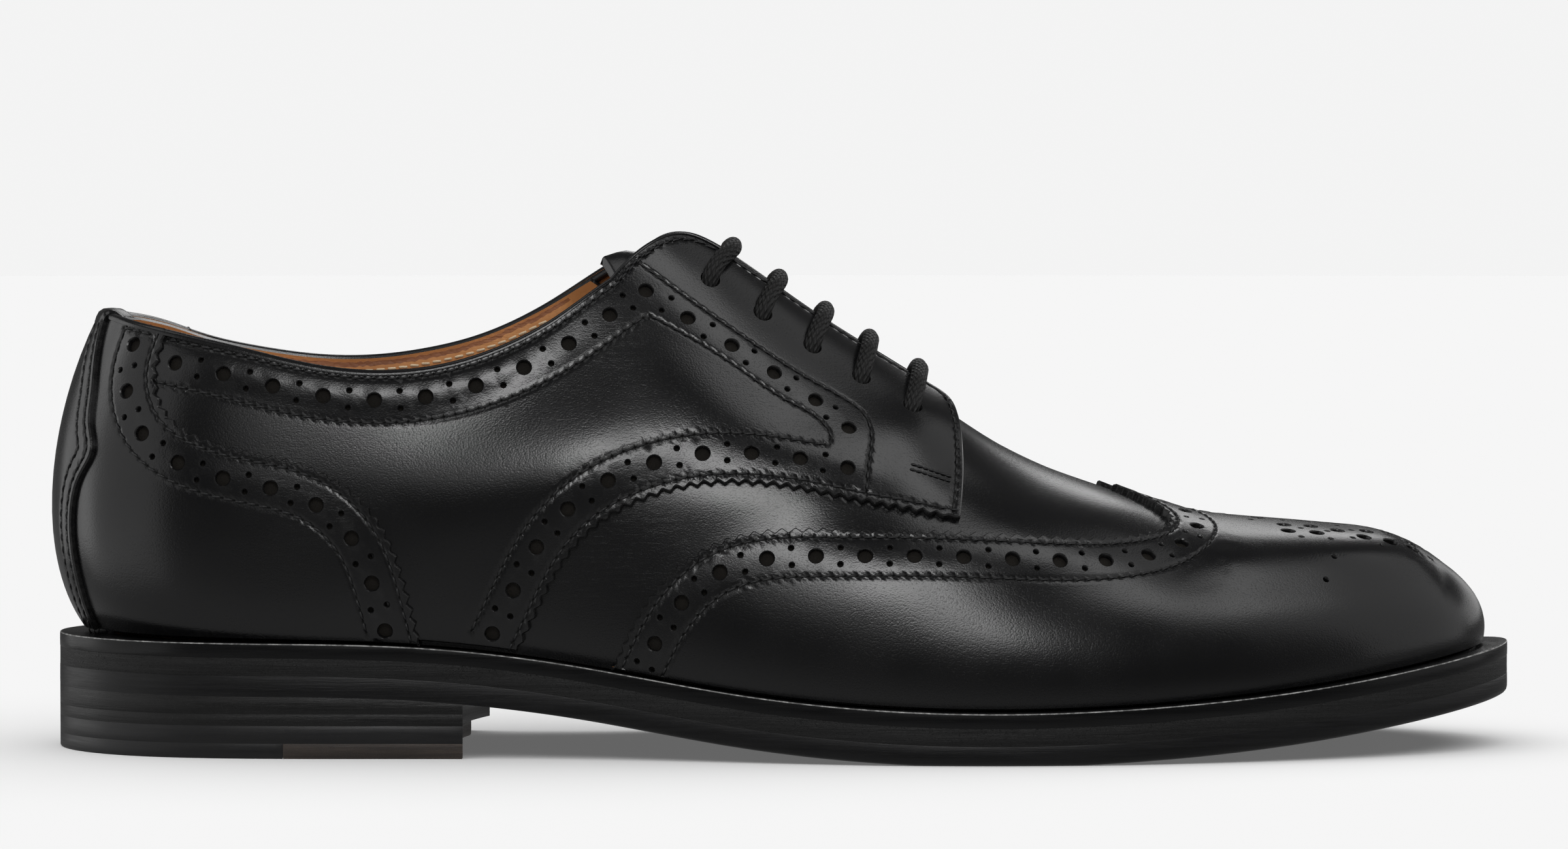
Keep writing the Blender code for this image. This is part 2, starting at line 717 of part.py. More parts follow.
def make_sole():
    ways = section_ways()
    edge = sole_outline(ways, margin_of(ways))
    ring = sole_outline(ways, np.full(len(ways), -WELT_INSIDE))
    bed = sole_outline(ways, np.full(len(ways), -INSOLE_INSIDE))
    black = (0.015, 0.015, 0.016)
    plate("welt", [edge, ring], [], [under_seat(0.0), under_seat(WELT_BOTTOM)], black, 0.3)
    ribs = rib_points(bed)
    plate("insole", [bed], ribs, [under_seat(-INSOLE_TOP), under_seat(INSOLE_BOTTOM)], (0.35, 0.19, 0.09), 0.5)
    ribs = rib_points(edge)
    plate("midsole", [edge], ribs, [under_seat(MIDSOLE_TOP), under_seat(MIDSOLE_BOTTOM)], black, 0.45)
    bevel = EDGE_BEVEL * smoothstep(-62.0, -35.0, edge[:, 0])
    tread = sole_outline(ways, margin_of(ways) - bevel)

    def side_foot(points):
        low = outsole_floor(points)
        low[:len(edge)] += bevel
        return np.column_stack([points, low])

    def bottom(points):
        moved = points.copy()
        moved[:len(edge)] = tread
        return np.column_stack([moved, outsole_floor(moved)])

    plate("outsole", [edge], ribs, [under_seat(OUTSOLE_TOP), side_foot, bottom], black, 0.4)


def heel_loop(corner=False):
    """Heel outline with its hollow breast; `corner` trims the inner front corner."""
    ways = np.linspace(-110.0, 110.0, 61)
    edge = sole_outline(ways, margin_of(ways))
    lateral = edge[ways >= 0.0]
    medial = edge[ways < 0.0]
    y_lateral = float(np.interp(BREAST_LATERAL, lateral[:, 0], lateral[:, 1]))
    y_medial = float(np.interp(BREAST_MEDIAL, medial[::-1, 0], medial[::-1, 1]))
    across = np.linspace(y_lateral, y_medial, 11)
    middle = (across - y_lateral) / (y_medial - y_lateral)
    breast = BREAST_LATERAL + (BREAST_MEDIAL - BREAST_LATERAL) * middle
    breast = breast - BREAST_HOLLOW * (1.0 - (2.0 * middle - 1.0) ** 2)
    front = np.stack([breast, across], axis=1)
    medial_end = BREAST_MEDIAL - 1.5
    if corner:
        cut = BREAST_MEDIAL - CORNER_ALONG
        y_cut = float(np.interp(cut, medial[::-1, 0], medial[::-1, 1]))
        front = np.concatenate([front[across < y_medial - CORNER_ACROSS], [(cut, y_cut)]])
        medial_end = cut - 1.5
    lateral = lateral[lateral[:, 0] < BREAST_LATERAL - 1.5]
    return np.concatenate([medial[medial[:, 0] < medial_end], lateral, front])


def clip_loop(loop, x, keep_back):
    """The part of a loop behind or ahead of a straight cut across the heel."""
    kept = []
    for a, b in zip(loop, np.roll(loop, -1, axis=0)):
        a_in = (a[0] <= x) == keep_back
        b_in = (b[0] <= x) == keep_back
        if a_in:
            kept.append(a)
        if a_in != b_in:
            share = (x - a[0]) / (b[0] - a[0])
            kept.append(a + share * (b - a))
    return np.array(kept)


def make_heel():
    black = (0.015, 0.015, 0.016)
    rubber = (0.02, 0.02, 0.021)
    whole = heel_loop()
    trimmed = heel_loop(corner=True)
    top = under_seat(OUTSOLE_BOTTOM + LIFT_GAP)
    plate("heel_lift", [whole], rib_points(whole), [top, flat_level(LIFT_FLOOR)], black, 0.45)
    plate("heel_block", [trimmed], [], [flat_level(LIFT_FLOOR), flat_level(TOP_PIECE)], rubber, 0.55)
    back = clip_loop(trimmed, INSET_BACK, True)
    front = clip_loop(trimmed, INSET_BACK + INSET_GAP, False)
    plate("heel_top_piece", [back], [], [flat_level(TOP_PIECE), flat_level(0.0)], rubber, 0.6)
    plate("heel_inset", [front], [], [flat_level(TOP_PIECE), flat_level(0.0)], (0.05, 0.035, 0.028), 0.6)


def lace_path(x, share):
    """The middle of a lace bar, eyelet to eyelet, clear of both facings."""
    halves = []
    for side in (LATERAL, MEDIAL):
        shares = np.linspace(share, THROAT_EDGE, 5)
        ways = np.array([way_at(side, x, s) for s in shares])
        points = np.stack([ways, shares], axis=1)
        halves.append(on_leather(ways, shares, quarter_top(points) + LACE_RADIUS + LACE_CLEAR))
    crown = (halves[0][-1] + halves[1][-1]) / 2.0 + np.array([0.3, 0.0, 0.5])
    return np.concatenate([halves[0], [crown], halves[1][::-1]])


def make_lace_bar(number, x, share):
    path = lace_path(x, share)
    run = np.gradient(path, axis=0)
    run = run / np.linalg.norm(run, axis=1, keepdims=True)
    toeward = np.array([1.0, 0.0, 0.0])
    turn = np.linspace(0.0, 2.0 * np.pi, LACE_SIDES, endpoint=False)
    rings = []
    for point, ahead in zip(path, run):
        first = toeward - ahead * (toeward @ ahead)
        first = first / np.linalg.norm(first)
        second = np.cross(ahead, first)
        rings.append(point + LACE_RADIUS * (np.cos(turn)[:, None] * first + np.sin(turn)[:, None] * second))
    vertices = [Vector(p * MM) for p in np.concatenate(rings)]
    faces = [tuple(range(LACE_SIDES))[::-1]]
    for ring in range(len(path) - 1):
        for k in range(LACE_SIDES):
            a = ring * LACE_SIDES + k
            b = ring * LACE_SIDES + (k + 1) % LACE_SIDES
            faces.append((a, b, b + LACE_SIDES, a + LACE_SIDES))
    faces.append(tuple(range(len(vertices) - LACE_SIDES, len(vertices))))
    make_object("lace_bar_%d" % number, vertices, faces, (0.02, 0.02, 0.02), 0.7)


def stand_on_middle():
    """Move the shoe so that the middle of its box stands over the origin."""
    items = list(bpy.context.scene.collection.objects)
    corners = np.array([tuple(v.co) for item in items for v in item.data.vertices])
    low = corners.min(axis=0)
    high = corners.max(axis=0)
    move = Vector((-(low[0] + high[0]) / 2.0, -(low[1] + high[1]) / 2.0, -low[2]))
    for item in items:
        for vertex in item.data.vertices:
            vertex.co += move
    print("moved by", [round(float(c) * 1000.0, 3) for c in move])
    print("box", [round(float(c) * 1000.0, 2) for c in high - low])
    print("triangles", sum(len(p.vertices) - 2 for item in items for p in item.data.polygons))


def main():
    for item in list(bpy.data.objects):
        bpy.data.objects.remove(item, do_unlink=True)
    make_upper()
    make_wing_cap()
    for side in (LATERAL, MEDIAL):
        make_quarter(side)
        make_counter(side)
    make_back_strip()
    make_tongue()
    make_sole()
    make_heel()
    for number, (x, share) in enumerate(EYELETS, start=1):
        make_lace_bar(number, x, share)
    stand_on_middle()


main()
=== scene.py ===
"""Looks of the brogue derby: calf panels, broguing, stitches, lace, lining, sole and a plain studio."""

import bpy
import numpy as np
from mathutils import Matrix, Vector
from mathutils.geometry import delaunay_2d_cdt


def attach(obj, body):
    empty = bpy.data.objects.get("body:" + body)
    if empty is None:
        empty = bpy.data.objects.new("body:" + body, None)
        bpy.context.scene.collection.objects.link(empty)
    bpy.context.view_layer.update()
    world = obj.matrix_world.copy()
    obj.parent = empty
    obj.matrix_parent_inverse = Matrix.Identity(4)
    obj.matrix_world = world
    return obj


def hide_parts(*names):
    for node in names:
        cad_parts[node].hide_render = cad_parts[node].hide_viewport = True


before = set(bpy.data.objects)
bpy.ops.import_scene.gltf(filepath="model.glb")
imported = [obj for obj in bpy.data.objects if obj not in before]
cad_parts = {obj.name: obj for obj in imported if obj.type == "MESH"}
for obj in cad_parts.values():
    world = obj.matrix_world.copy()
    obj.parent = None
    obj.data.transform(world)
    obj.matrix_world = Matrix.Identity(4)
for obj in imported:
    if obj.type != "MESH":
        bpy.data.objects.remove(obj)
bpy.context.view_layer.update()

# Lengths are millimetres on the last and turn to metres when a mesh is made. ROW_MOVE takes the last
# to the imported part, whose middle stands over the origin.
MM = 0.001
ROW_MOVE = np.array([0.544, -0.609, 0.0])
LATERAL = "lateral"
MEDIAL = "medial"
SIDES = (LATERAL, MEDIAL)

# Leather
WALL = 1.9
LINING_BAND = 0.6
PANEL_BOTTOM = 0.1
PANEL_TOP = 1.5
COUNTER_TOP = 2.4
STRIP_BOTTOM = 1.4
STRIP_TOP = 3.5
STRIP_ARCH = 0.006
TONGUE_TOP = 0.2
TONGUE_THICK = 1.8
TONGUE_SINK = 8.5
TONGUE_SINK_FROM = 2.0
TONGUE_SINK_TO = -38.0
EDGE_ROUND = 0.3
FOOT_GAP = 0.03

# The facings stand up over the tongue near the throat.
LIFT_FROM = 0.55
LIFT_TO = 1.0
LIFT_TOP = 2.8
LIFT_UNDER = 1.25
THROAT_EDGE = 0.925
SLOT_EDGE = 0.665
TONGUE_EDGE = 0.688

# Gimped edges, broguing and stitching
TOOTH_PITCH = 2.8
TOOTH_DEPTH = 0.46
BIG_HOLE = 1.46
SMALL_HOLE = 0.52
HOLE_PITCH = 9.9
COLLAR_HOLE_PITCH = 10.5
PAIR_HALF = 1.75
BIG_CLEAR = 6.5
SMALL_CLEAR = 3.0
HOLE_DEPTH = 1.25
STITCH_PITCH = 2.44
STITCH_LENGTH = 1.95
STITCH_HALF_WIDTH = 0.24
STITCH_HALF_RISE = 0.17
GROOVE_DEPTH = 0.14
NEEDLE_DEPTH = 0.5
NEEDLE_HALF = 0.38
GROOVE_HALF = 0.42
BANK = 0.5
BANK_PULL = 0.025
STITCH_SIDES = 8
STITCH_STATIONS = np.array([-1.0, -0.72, 0.0, 0.72, 1.0])
STITCH_GIRTH = np.array([0.6, 0.92, 1.0, 0.92, 0.6])
STITCH_POINTS = STITCH_SIDES * len(STITCH_STATIONS)
EDGE_STITCH = 1.6
COUNTER_ROWS = (6.2, 10.1)
FOOT_ROWS = (6.1, 10.2)
WING_ROWS = (5.6, 9.8)
COLLAR_ROWS = (6.4, 11.0)
COLLAR_STITCH = 1.9

# Sole layers, measured down from the welt's top, and the heel's levels over the floor
WELT_BOTTOM = 3.0
MIDSOLE_BOTTOM = 6.7
OUTSOLE_BOTTOM = 10.9
SOLE_ROUND = 1.3
WELT_INSIDE = 2.5
INSOLE_INSIDE = 2.95
INSOLE_TOP = 1.9
INSOLE_BOTTOM = 2.8
BREAST_LATERAL = -65.5
BREAST_MEDIAL = -63.3
BREAST_HOLLOW = 5.0
LIFT_FLOOR = 9.1
BLOCK_LINE = 6.7
TOP_PIECE = 3.1
INSET_BACK = -102.2
CORNER_ALONG = 4.0
CORNER_ACROSS = 11.0

# Lace
LACE_RADIUS = 1.8
LACE_LEAN = (0.3, 0.4, 1.2, 1.7, 2.8)
EYELET_RADIUS = 1.9

# Feather line in plan and the section standing on each of its points: `spine` is where the section
# meets the ridge, `lean` its outward tilt at the welt, `rise` and `crown` the pull of its lower and
# upper half, `margin` how far the welt stands out.
SECTIONS = [
    # name              x       y      spine   lean  rise  crown margin
    ("heel_back",      -140.8,   0.0, -103.5,  47.5, 29.5, 38.5, 10.8),
    ("heel_corner_l",  -132.0, -18.5, -100.5,  41.0, 29.5, 33.0,  8.4),
    ("heel_side_l",    -111.0, -27.5,  -89.5,  27.0, 29.0, 27.0,  5.8),
    ("heel_front_l",    -80.0, -29.5,  -65.0,  21.0, 29.0, 25.0,  4.6),
    ("waist_l",         -42.0, -32.5,  -34.0,  18.0, 28.0, 24.0,  3.8),
    ("joint_l",          -5.0, -39.5,   -3.0,  15.0, 26.0, 25.0,  4.4),
    ("ball_l",           32.0, -44.5,   31.0,  12.0, 23.0, 28.0,  5.2),
    ("vamp_l",           65.0, -42.5,   60.0,  10.0, 20.0, 29.0,  5.6),
    ("toe_rear_l",       97.0, -34.5,   85.0,  11.0, 17.5, 25.0,  6.0),
    ("toe_side_l",      122.5, -23.8,  103.0,  14.0, 15.5, 20.0,  6.3),
    ("toe_corner_l",    139.2, -10.0,  112.0,  18.5, 14.0, 16.5,  6.7),
    ("toe_tip",         145.2,   6.0,  115.5,  21.0, 13.5, 15.5,  7.0),
    ("toe_corner_m",    139.6,  21.5,  112.0,  18.5, 14.0, 16.5,  6.7),
    ("toe_side_m",      124.5,  33.2,  103.0,  14.0, 15.5, 20.0,  6.3),
    ("toe_rear_m",      101.0,  41.0,   85.0,  11.0, 17.5, 25.0,  6.0),
    ("vamp_m",           73.0,  45.5,   60.0,  10.0, 20.0, 29.0,  5.6),
    ("ball_m",           42.0,  43.0,   31.0,  12.0, 23.0, 28.0,  5.2),
    ("joint_m",           5.0,  34.5,   -3.0,  15.0, 26.0, 25.0,  4.0),
    ("waist_m",         -37.0,  27.0,  -34.0,  18.0, 28.0, 24.0,  3.4),
    ("heel_front_m",    -79.0,  27.5,  -65.0,  21.0, 29.0, 25.0,  4.4),
    ("heel_side_m",    -111.0,  27.0,  -89.5,  27.0, 29.0, 27.0,  5.8),
    ("heel_corner_m",  -132.0,  18.5, -100.5,  41.0, 29.5, 33.0,  8.4),
]

# Ridge over the instep, vamp and toe
RIDGE = [
    # x       y      z
    (-120.0, 0.0, 117.0),
    (-95.0,  0.0, 118.0),
    (-62.0,  1.0, 117.2),
    (-34.0,  2.5, 112.0),
    (-15.0,  3.5, 101.8),
    (5.0,    4.5,  87.6),
    (25.0,   5.0,  75.0),
    (37.0,   5.2,  67.6),
    (51.0,   5.4,  60.0),
    (66.0,   5.6,  53.6),
    (80.0,   6.0,  48.5),
    (92.0,   6.0,  46.5),
    (106.0,  6.0,  45.3),
    (118.0,  6.0,  44.0),
]

# Top of the welt in side view: heel seat, arch, ball, toe spring
SEAT = [
    # x      z
    (-152.0, 24.0),
    (-110.0, 23.6),
    (-75.0,  22.8),
    (-45.0,  19.6),
    (-10.0,  14.0),
    (20.0,   11.2),
    (45.0,   10.6),
    (75.0,   11.6),
    (105.0,  14.2),
    (130.0,  17.8),
    (152.0,  21.6),
]

# Pattern lines on the last: `x` along the shoe, `share` of the way from the welt (0) to the ridge (1)
TOPLINE = [
    # x      lateral medial
    (-139.0, 0.600, 0.600),
    (-134.5, 0.585, 0.589),
    (-126.0, 0.562, 0.556),
    (-112.0, 0.528, 0.518),
    (-98.0,  0.497, 0.499),
    (-86.0,  0.485, 0.500),
    (-75.0,  0.491, 0.516),
    (-65.0,  0.513, 0.543),
    (-55.0,  0.553, 0.588),
    (-45.5,  0.613, 0.651),
    (-36.0,  0.700, 0.735),
]
INSTEP_CORNER = [(-31.5, 0.772), (-28.3, 0.820), (-24.5, 0.872), (-20.0, 0.910), (-14.0, 0.925)]
FACING_FRONT = [(27.0, 0.925), (31.5, 0.905), (34.2, 0.840), (35.8, 0.735), (36.2, 0.620), (35.5, 0.500)]
QUARTER_FOOT = [
    # x    share
    (35.5, 0.500),
    (16.0, 0.470),
    (-1.0, 0.438),
    (-15.0, 0.397),
    (-28.0, 0.340),
    (-38.0, 0.277),
    (-44.5, 0.210),
    (-49.0, 0.135),
    (-55.0, 0.000),
]
COUNTER_EDGE = [
    # x      share
    (-126.0, 0.558),
    (-128.4, 0.480),
    (-126.6, 0.430),
    (-121.0, 0.387),
    (-110.0, 0.355),
    (-97.0,  0.328),
    (-88.0,  0.287),
    (-81.5,  0.225),
    (-77.5,  0.140),
    (-74.0,  0.000),
]
WING_EDGE = [
    # x    share
    (-35.0, 0.000),
    (-29.0, 0.140),
    (-20.0, 0.250),
    (-6.0,  0.335),
    (12.0,  0.392),
    (35.0,  0.457),
    (56.0,  0.520),
    (70.0,  0.590),
    (77.5,  0.680),
    (79.8,  0.780),
    (77.5,  0.870),
    (72.0,  0.945),
    (65.5,  1.000),
]
STRIP_HALF = [
    # share  half width, measured along the feather line
    (0.000,  9.8),
    (0.130, 12.5),
    (0.215, 12.7),
    (0.290, 13.3),
    (0.328, 14.8),
    (0.364, 17.0),
    (0.410, 15.4),
    (0.460, 14.0),
    (0.503, 12.2),
    (0.546,  9.9),
    (0.592,  7.4),
]
SLOT_END = [(18.0, 0.665), (24.0, 0.700), (28.5, 0.800), (30.2, 0.900), (30.6, 1.000)]
TONGUE_FRONT = [(30.2, 1.000), (29.8, 0.900), (28.0, 0.800), (23.4, 0.705), (17.6, 0.688)]
TONGUE_TOP_EDGE = [(-25.0, 0.688), (-29.5, 0.715), (-32.0, 0.770), (-33.6, 0.870), (-34.2, 1.000)]
EYELETS = [(25.2, 0.764), (14.8, 0.778), (4.5, 0.785), (-5.8, 0.790), (-16.4, 0.798)]

# Stitch rows and holes of the strip between facing and quarter, as (x, share)
FACING_OUTER_STITCH = [
    (-31.0, 0.752), (-20.0, 0.722), (-8.0, 0.700), (4.0, 0.692), (11.4, 0.690), (15.6, 0.672),
    (17.0, 0.640), (17.0, 0.560), (16.6, 0.488),
]
FACING_INNER_STITCH = [(-27.6, 0.653), (-11.0, 0.630), (1.0, 0.615), (7.2, 0.604), (9.0, 0.580), (8.4, 0.554)]
FACING_HOLES = [(-20.3, 0.680), (-11.4, 0.668), (-2.7, 0.660), (5.9, 0.649), (12.7, 0.617)]
CORNER_HOLE = (-28.8, 0.700)
BAR_TACK = [(25.3, 0.585), (34.4, 0.600)]
BAR_TACK_GAP = 1.3

# Toe medallion: `off` is the distance from the ridge in plan, the same on both sides
MEDALLION_BIG = [
    # x      off
    (93.5,   0.0),
    (99.0,   3.4),
    (104.2,  9.2),
    (104.6, 14.2),
    (108.4,  0.0),
    (109.8,  8.4),
    (110.2, 13.8),
    (115.2,  9.6),
    (117.4,  0.0),
    (120.2, 11.4),
    (121.2,  6.4),
    (125.4, 10.6),
    (125.8,  2.6),
    (130.2,  4.8),
    (130.0,  9.2),
]
MEDALLION_SMALL = [
    # x      off
    (97.6,   7.0),
    (106.9, 17.2),
    (107.2, 11.4),
    (112.6, 11.6),
    (112.8, 16.4),
    (117.8, 13.4),
    (118.2,  7.6),
    (115.6,  4.0),
    (110.0,  2.6),
    (104.6,  3.8),
    (123.2, 14.0),
    (127.8,  6.8),
    (134.4,  7.0),
    (134.0,  0.0),
    (113.2, 22.0),
    (111.2, 27.5),
]

# Soft dents and swells of the leather, `rise` in millimetres over the last
SWELLS = [
    # side     x     share  along across turn  rise
    (LATERAL,  20.0, 0.600, 13.0,  7.0,  60.0, -0.50),
    (LATERAL,  27.0, 0.655,  9.0,  6.0,  60.0,  0.42),
    (LATERAL, -24.0, 0.560, 24.0,  7.0, -38.0,  0.25),
    (LATERAL, -46.0, 0.285, 42.0, 13.0,   6.0,  0.40),
    (LATERAL, -42.0, 0.380, 36.0, 13.0,  26.0,  1.80),
    (LATERAL, -44.0, 0.560, 34.0, 10.0,  26.0, -0.50),
    (LATERAL, -70.0, 0.330, 30.0, 11.0,   8.0,  0.45),
    (LATERAL, -100.0, 0.180, 26.0, 10.0,  4.0, -0.35),
    (LATERAL,  44.0, 0.600, 22.0,  8.0, -20.0,  0.40),
    (LATERAL,  52.0, 0.740, 20.0,  8.0, -50.0, -0.35),
    (LATERAL,   2.0, 0.480, 34.0,  8.0,  15.0,  0.85),
    (LATERAL,  52.0, 0.515, 34.0,  9.0,  10.0,  1.40),
    (LATERAL,  24.0, 0.700, 10.0,  5.0,   0.0,  0.70),
    (MEDIAL,   20.0, 0.600, 12.0,  7.0,  60.0, -0.45),
    (MEDIAL,   27.0, 0.650,  9.0,  6.0,  60.0,  0.40),
    (MEDIAL,  -26.0, 0.560, 24.0,  7.0, -38.0,  0.50),
    (MEDIAL,  -60.0, 0.320, 32.0, 12.0,   6.0, -0.45),
    (MEDIAL,   50.0, 0.690, 20.0,  8.0, -40.0, -0.35),
]

# Crisp shoulder of the toe and soft padding of the collar
TOE_SHOULDER = [
    (78.0, 0.530), (88.0, 0.548), (98.0, 0.569), (109.0, 0.582),
    (120.0, 0.590), (132.0, 0.564), (138.5, 0.45),
]
SHOULDER_RISE = 1.9
SHOULDER_ABOVE = 11.0
SHOULDER_BELOW = 7.0
FOOT_SEAM_RISE = 0.35
FOOT_SEAM_HALF = 6.5
BAND_PUFF = 0.14
BAND_HALF = 3.0
COLLAR_PUFF = 0.65

# Mesh steps
EDGE_STEP = 0.4
COARSE_STEP = 1.5
HIDE_STEP = 2.0
HIDE_ROWS = 60
PATTERN_GIRTH = 85.0
WAY_STEP = 0.1
SHARE_STEP = 0.003
SHARE_END = 0.992

# How far the points of grooves and of plain leather keep from cut edges and from holes
GROOVE_CLEAR = (0.27, 0.15)
PLAIN_CLEAR = (0.6, 0.4)
PLAIN_TO_GROOVE = 0.75
GROOVE_CELL = 0.3

# Finishes of the sole's edges: `fine` and `pits` are the fibres, `depth` their relief, in millimetres
SOLE_EDGES = [
    # piece, name, dark, light, roughness, fine, pits, depth, shine
    ("welt", "welt_black", (0.0012, 0.0012, 0.0014), (0.003, 0.003, 0.0032), 0.28, 0.8, 0.05, 0.02, 0.3),
    ("midsole", "midsole_black", (0.003, 0.003, 0.003), (0.008, 0.008, 0.008), 0.5, 1.0, 0.8, 0.16, 0.3),
    ("outsole", "outsole_black", (0.0018, 0.0018, 0.002), (0.005, 0.005, 0.0054), 0.38, 1.0, 0.15, 0.05, 0.3),
    ("heel", "heel_black", (0.002, 0.002, 0.002), (0.006, 0.006, 0.006), 0.38, 1.1, 0.2, 0.09, 0.35),
    ("rubber", "heel_rubber", (0.004, 0.004, 0.0045), (0.0075, 0.0075, 0.008), 0.4, 0.6, 0.25, 0.03, 0.4),
    ("inset", "inset_leather", (0.02, 0.0155, 0.013), (0.044, 0.033, 0.026), 0.5, 1.0, 0.5, 0.06, 0.35),
]
# Painted glint along the welt's top edge, its colour and strength; colour of the rubbed corners of the other
# sole edges and how much they are rubbed
WELT_PAINTED_GLINT = ((0.45, 0.45, 0.44), 0.9)
EDGE_RUB = ((0.012, 0.0118, 0.0115), 0.5)

# Camera: 1.2 m off the outer side, a little above the shoe, as the photograph is taken
CAMERA_AT = (0.0, -1200.0, 113.0)
CAMERA_AIM = (0.0, 0.0, 67.0)
CAMERA_LENS = 131.68

# Light panels: `side` and `rise` are the angles they stand at as seen from the shoe, sideways from the
# camera and up from it over the shoe; sizes in metres, `glow` is their brightness.
BACKDROP = 0.9
PANEL_AIM = Vector((0.0, 0.0, 0.05))
PANELS = [
    # name          side   rise   far  width depth glow
    ("front_panel",   1.0,  31.0, 1.25, 0.52, 0.31, 7.6),
    ("low_front",   -12.0,  21.0, 1.25, 0.42, 0.26, 0.6),
    ("upper_panel",  21.0,  72.0, 1.25, 0.42, 0.50, 1.9),
    ("heel_panel",  -72.0,  35.0, 1.50, 1.90, 1.60, 0.60),
    ("heel_top",    -26.0,  90.0, 1.40, 0.70, 0.70, 0.90),
    ("heel_rear",   -66.0, 150.0, 1.50, 1.00, 1.20, 0.80),
    ("toe_panel",    60.0,  82.0, 1.50, 1.70, 2.00, 0.52),
    ("rear_panel",    6.0, 151.0, 1.40, 0.60, 0.36, 1.9),
    ("low_panel",    42.0, 166.0, 1.60, 1.20, 0.45, 0.8),
]


def smoothstep(low, high, value):
    share = np.clip((value - low) / (high - low), 0.0, 1.0)
    return share * share * (3.0 - 2.0 * share)


def open_spline(places, values):
    """A natural cubic through the values, straight beyond both ends; slope=True gives its slope."""
    places = np.asarray(places, float)
    values = np.asarray(values, float)
    count = len(places)
    gap = np.diff(places)
    rows = np.eye(count)
    right = np.zeros(count)
    for i in range(1, count - 1):
        rows[i, i - 1:i + 2] = gap[i - 1], 2.0 * (gap[i - 1] + gap[i]), gap[i]
        right[i] = 6.0 * ((values[i + 1] - values[i]) / gap[i] - (values[i] - values[i - 1]) / gap[i - 1])
    bend = np.linalg.solve(rows, right)

    def at(place, slope=False):
        place = np.asarray(place, float)
        held = np.clip(place, places[0], places[-1])
        i = np.clip(np.searchsorted(places, held, side="right") - 1, 0, count - 2)
        after = held - places[i]
        before = places[i + 1] - held
        chord = (values[i + 1] - values[i]) / gap[i]
        tangent = chord - (bend[i + 1] - bend[i]) * gap[i] / 6.0
        tangent = tangent + (bend[i + 1] * after ** 2 - bend[i] * before ** 2) / (2.0 * gap[i])
        if slope:
            return tangent
        curve = (bend[i] * before ** 3 + bend[i + 1] * after ** 3) / (6.0 * gap[i])
        curve = curve + (values[i] / gap[i] - bend[i] * gap[i] / 6.0) * before
        curve = curve + (values[i + 1] / gap[i] - bend[i + 1] * gap[i] / 6.0) * after
        return curve + tangent * (place - held)

    return at


def ring_spline(places, length, values):
    """A smooth closed cubic through the values; the places run once round the given length."""
    places = np.asarray(places, float)
    values = np.asarray(values, float)
    count = len(places)
    gap = np.diff(np.append(places, length))
    rows = np.zeros((count, count))
    right = np.zeros(count)
    for i in range(count):
        last = (i - 1) % count
        after = (i + 1) % count
        rows[i, last] += gap[last]
        rows[i, i] += 2.0 * (gap[last] + gap[i])
        rows[i, after] += gap[i]
        right[i] = 6.0 * ((values[after] - values[i]) / gap[i] - (values[i] - values[last]) / gap[last])
    bend = np.linalg.solve(rows, right)

    def at(place):
        place = np.mod(np.asarray(place, float), length)
        i = np.clip(np.searchsorted(places, place, side="right") - 1, 0, count - 1)
        j = (i + 1) % count
        after = place - places[i]
        before = gap[i] - after
        curve = (bend[i] * before ** 3 + bend[j] * after ** 3) / (6.0 * gap[i])
        curve = curve + (values[i] / gap[i] - bend[i] * gap[i] / 6.0) * before
        return curve + (values[j] / gap[i] - bend[j] * gap[i] / 6.0) * after

    return at


# The last: a point on it is (way, share), the way round the feather line and the share of the rise.
PLAN = np.array([row[1:3] for row in SECTIONS])
STEPS = np.linalg.norm(np.roll(PLAN, -1, axis=0) - PLAN, axis=1)
WAYS = np.concatenate([[0.0], np.cumsum(STEPS)[:-1]])
ROUND = float(STEPS.sum())
TOE_WAY = float(WAYS[[row[0] for row in SECTIONS].index("toe_tip")])

foot_x, foot_y, spine_x, lean_of, rise_of, crown_of, margin_of = [
    ring_spline(WAYS, ROUND, column) for column in list(zip(*SECTIONS))[1:]
]


def curves_of(rows):
    """For each column of a table after the first, a curve over the first."""
    first, *others = zip(*rows)
    return [open_spline(first, column) for column in others]


ridge_y, ridge_z = curves_of(RIDGE)
seat_z, = curves_of(SEAT)
strip_half, = curves_of(STRIP_HALF)
topline_of = dict(zip(SIDES, curves_of(TOPLINE)))


def unit(vectors):
    return vectors / np.maximum(np.linalg.norm(vectors, axis=-1, keepdims=True), 1e-9)


def section_pulls(way):
    """The four points that shape the section: foot, its pull, the ridge's pull, ridge."""
    fx = foot_x(way)
    fy = foot_y(way)
    sx = spine_x(way)
    sy = ridge_y(sx)
    fall = ridge_z(sx, slope=True)
    far = np.hypot(fx - sx, fy - sy)
    ux = (fx - sx) / far
    uy = (fy - sy) / far
    lean = np.radians(lean_of(way))
    foot = np.stack([fx, fy, seat_z(fx)], axis=-1)
    ridge = np.stack([sx, sy, ridge_z(sx)], axis=-1)
    up = np.stack([np.sin(lean) * ux, np.sin(lean) * uy, np.cos(lean)], axis=-1)
    out = np.stack([ux, uy, ux * fall], axis=-1)
    return foot, foot + rise_of(way)[..., None] * up, ridge + crown_of(way)[..., None] * out, ridge


def last_point(way, share):
    way, share = np.broadcast_arrays(np.asarray(way, float), np.asarray(share, float))
    foot, low, high, ridge = section_pulls(way)
    up = share[..., None]
    down = 1.0 - up
    return down ** 3 * foot + 3.0 * down ** 2 * up * low + 3.0 * down * up ** 2 * high + up ** 3 * ridge


def place_of(points):
    """Where points (way, share) lie on the last."""
    return last_point(points[..., 0], points[..., 1])


def x_of(points):
    """How far along the shoe the points lie."""
    return place_of(points)[:, 0]


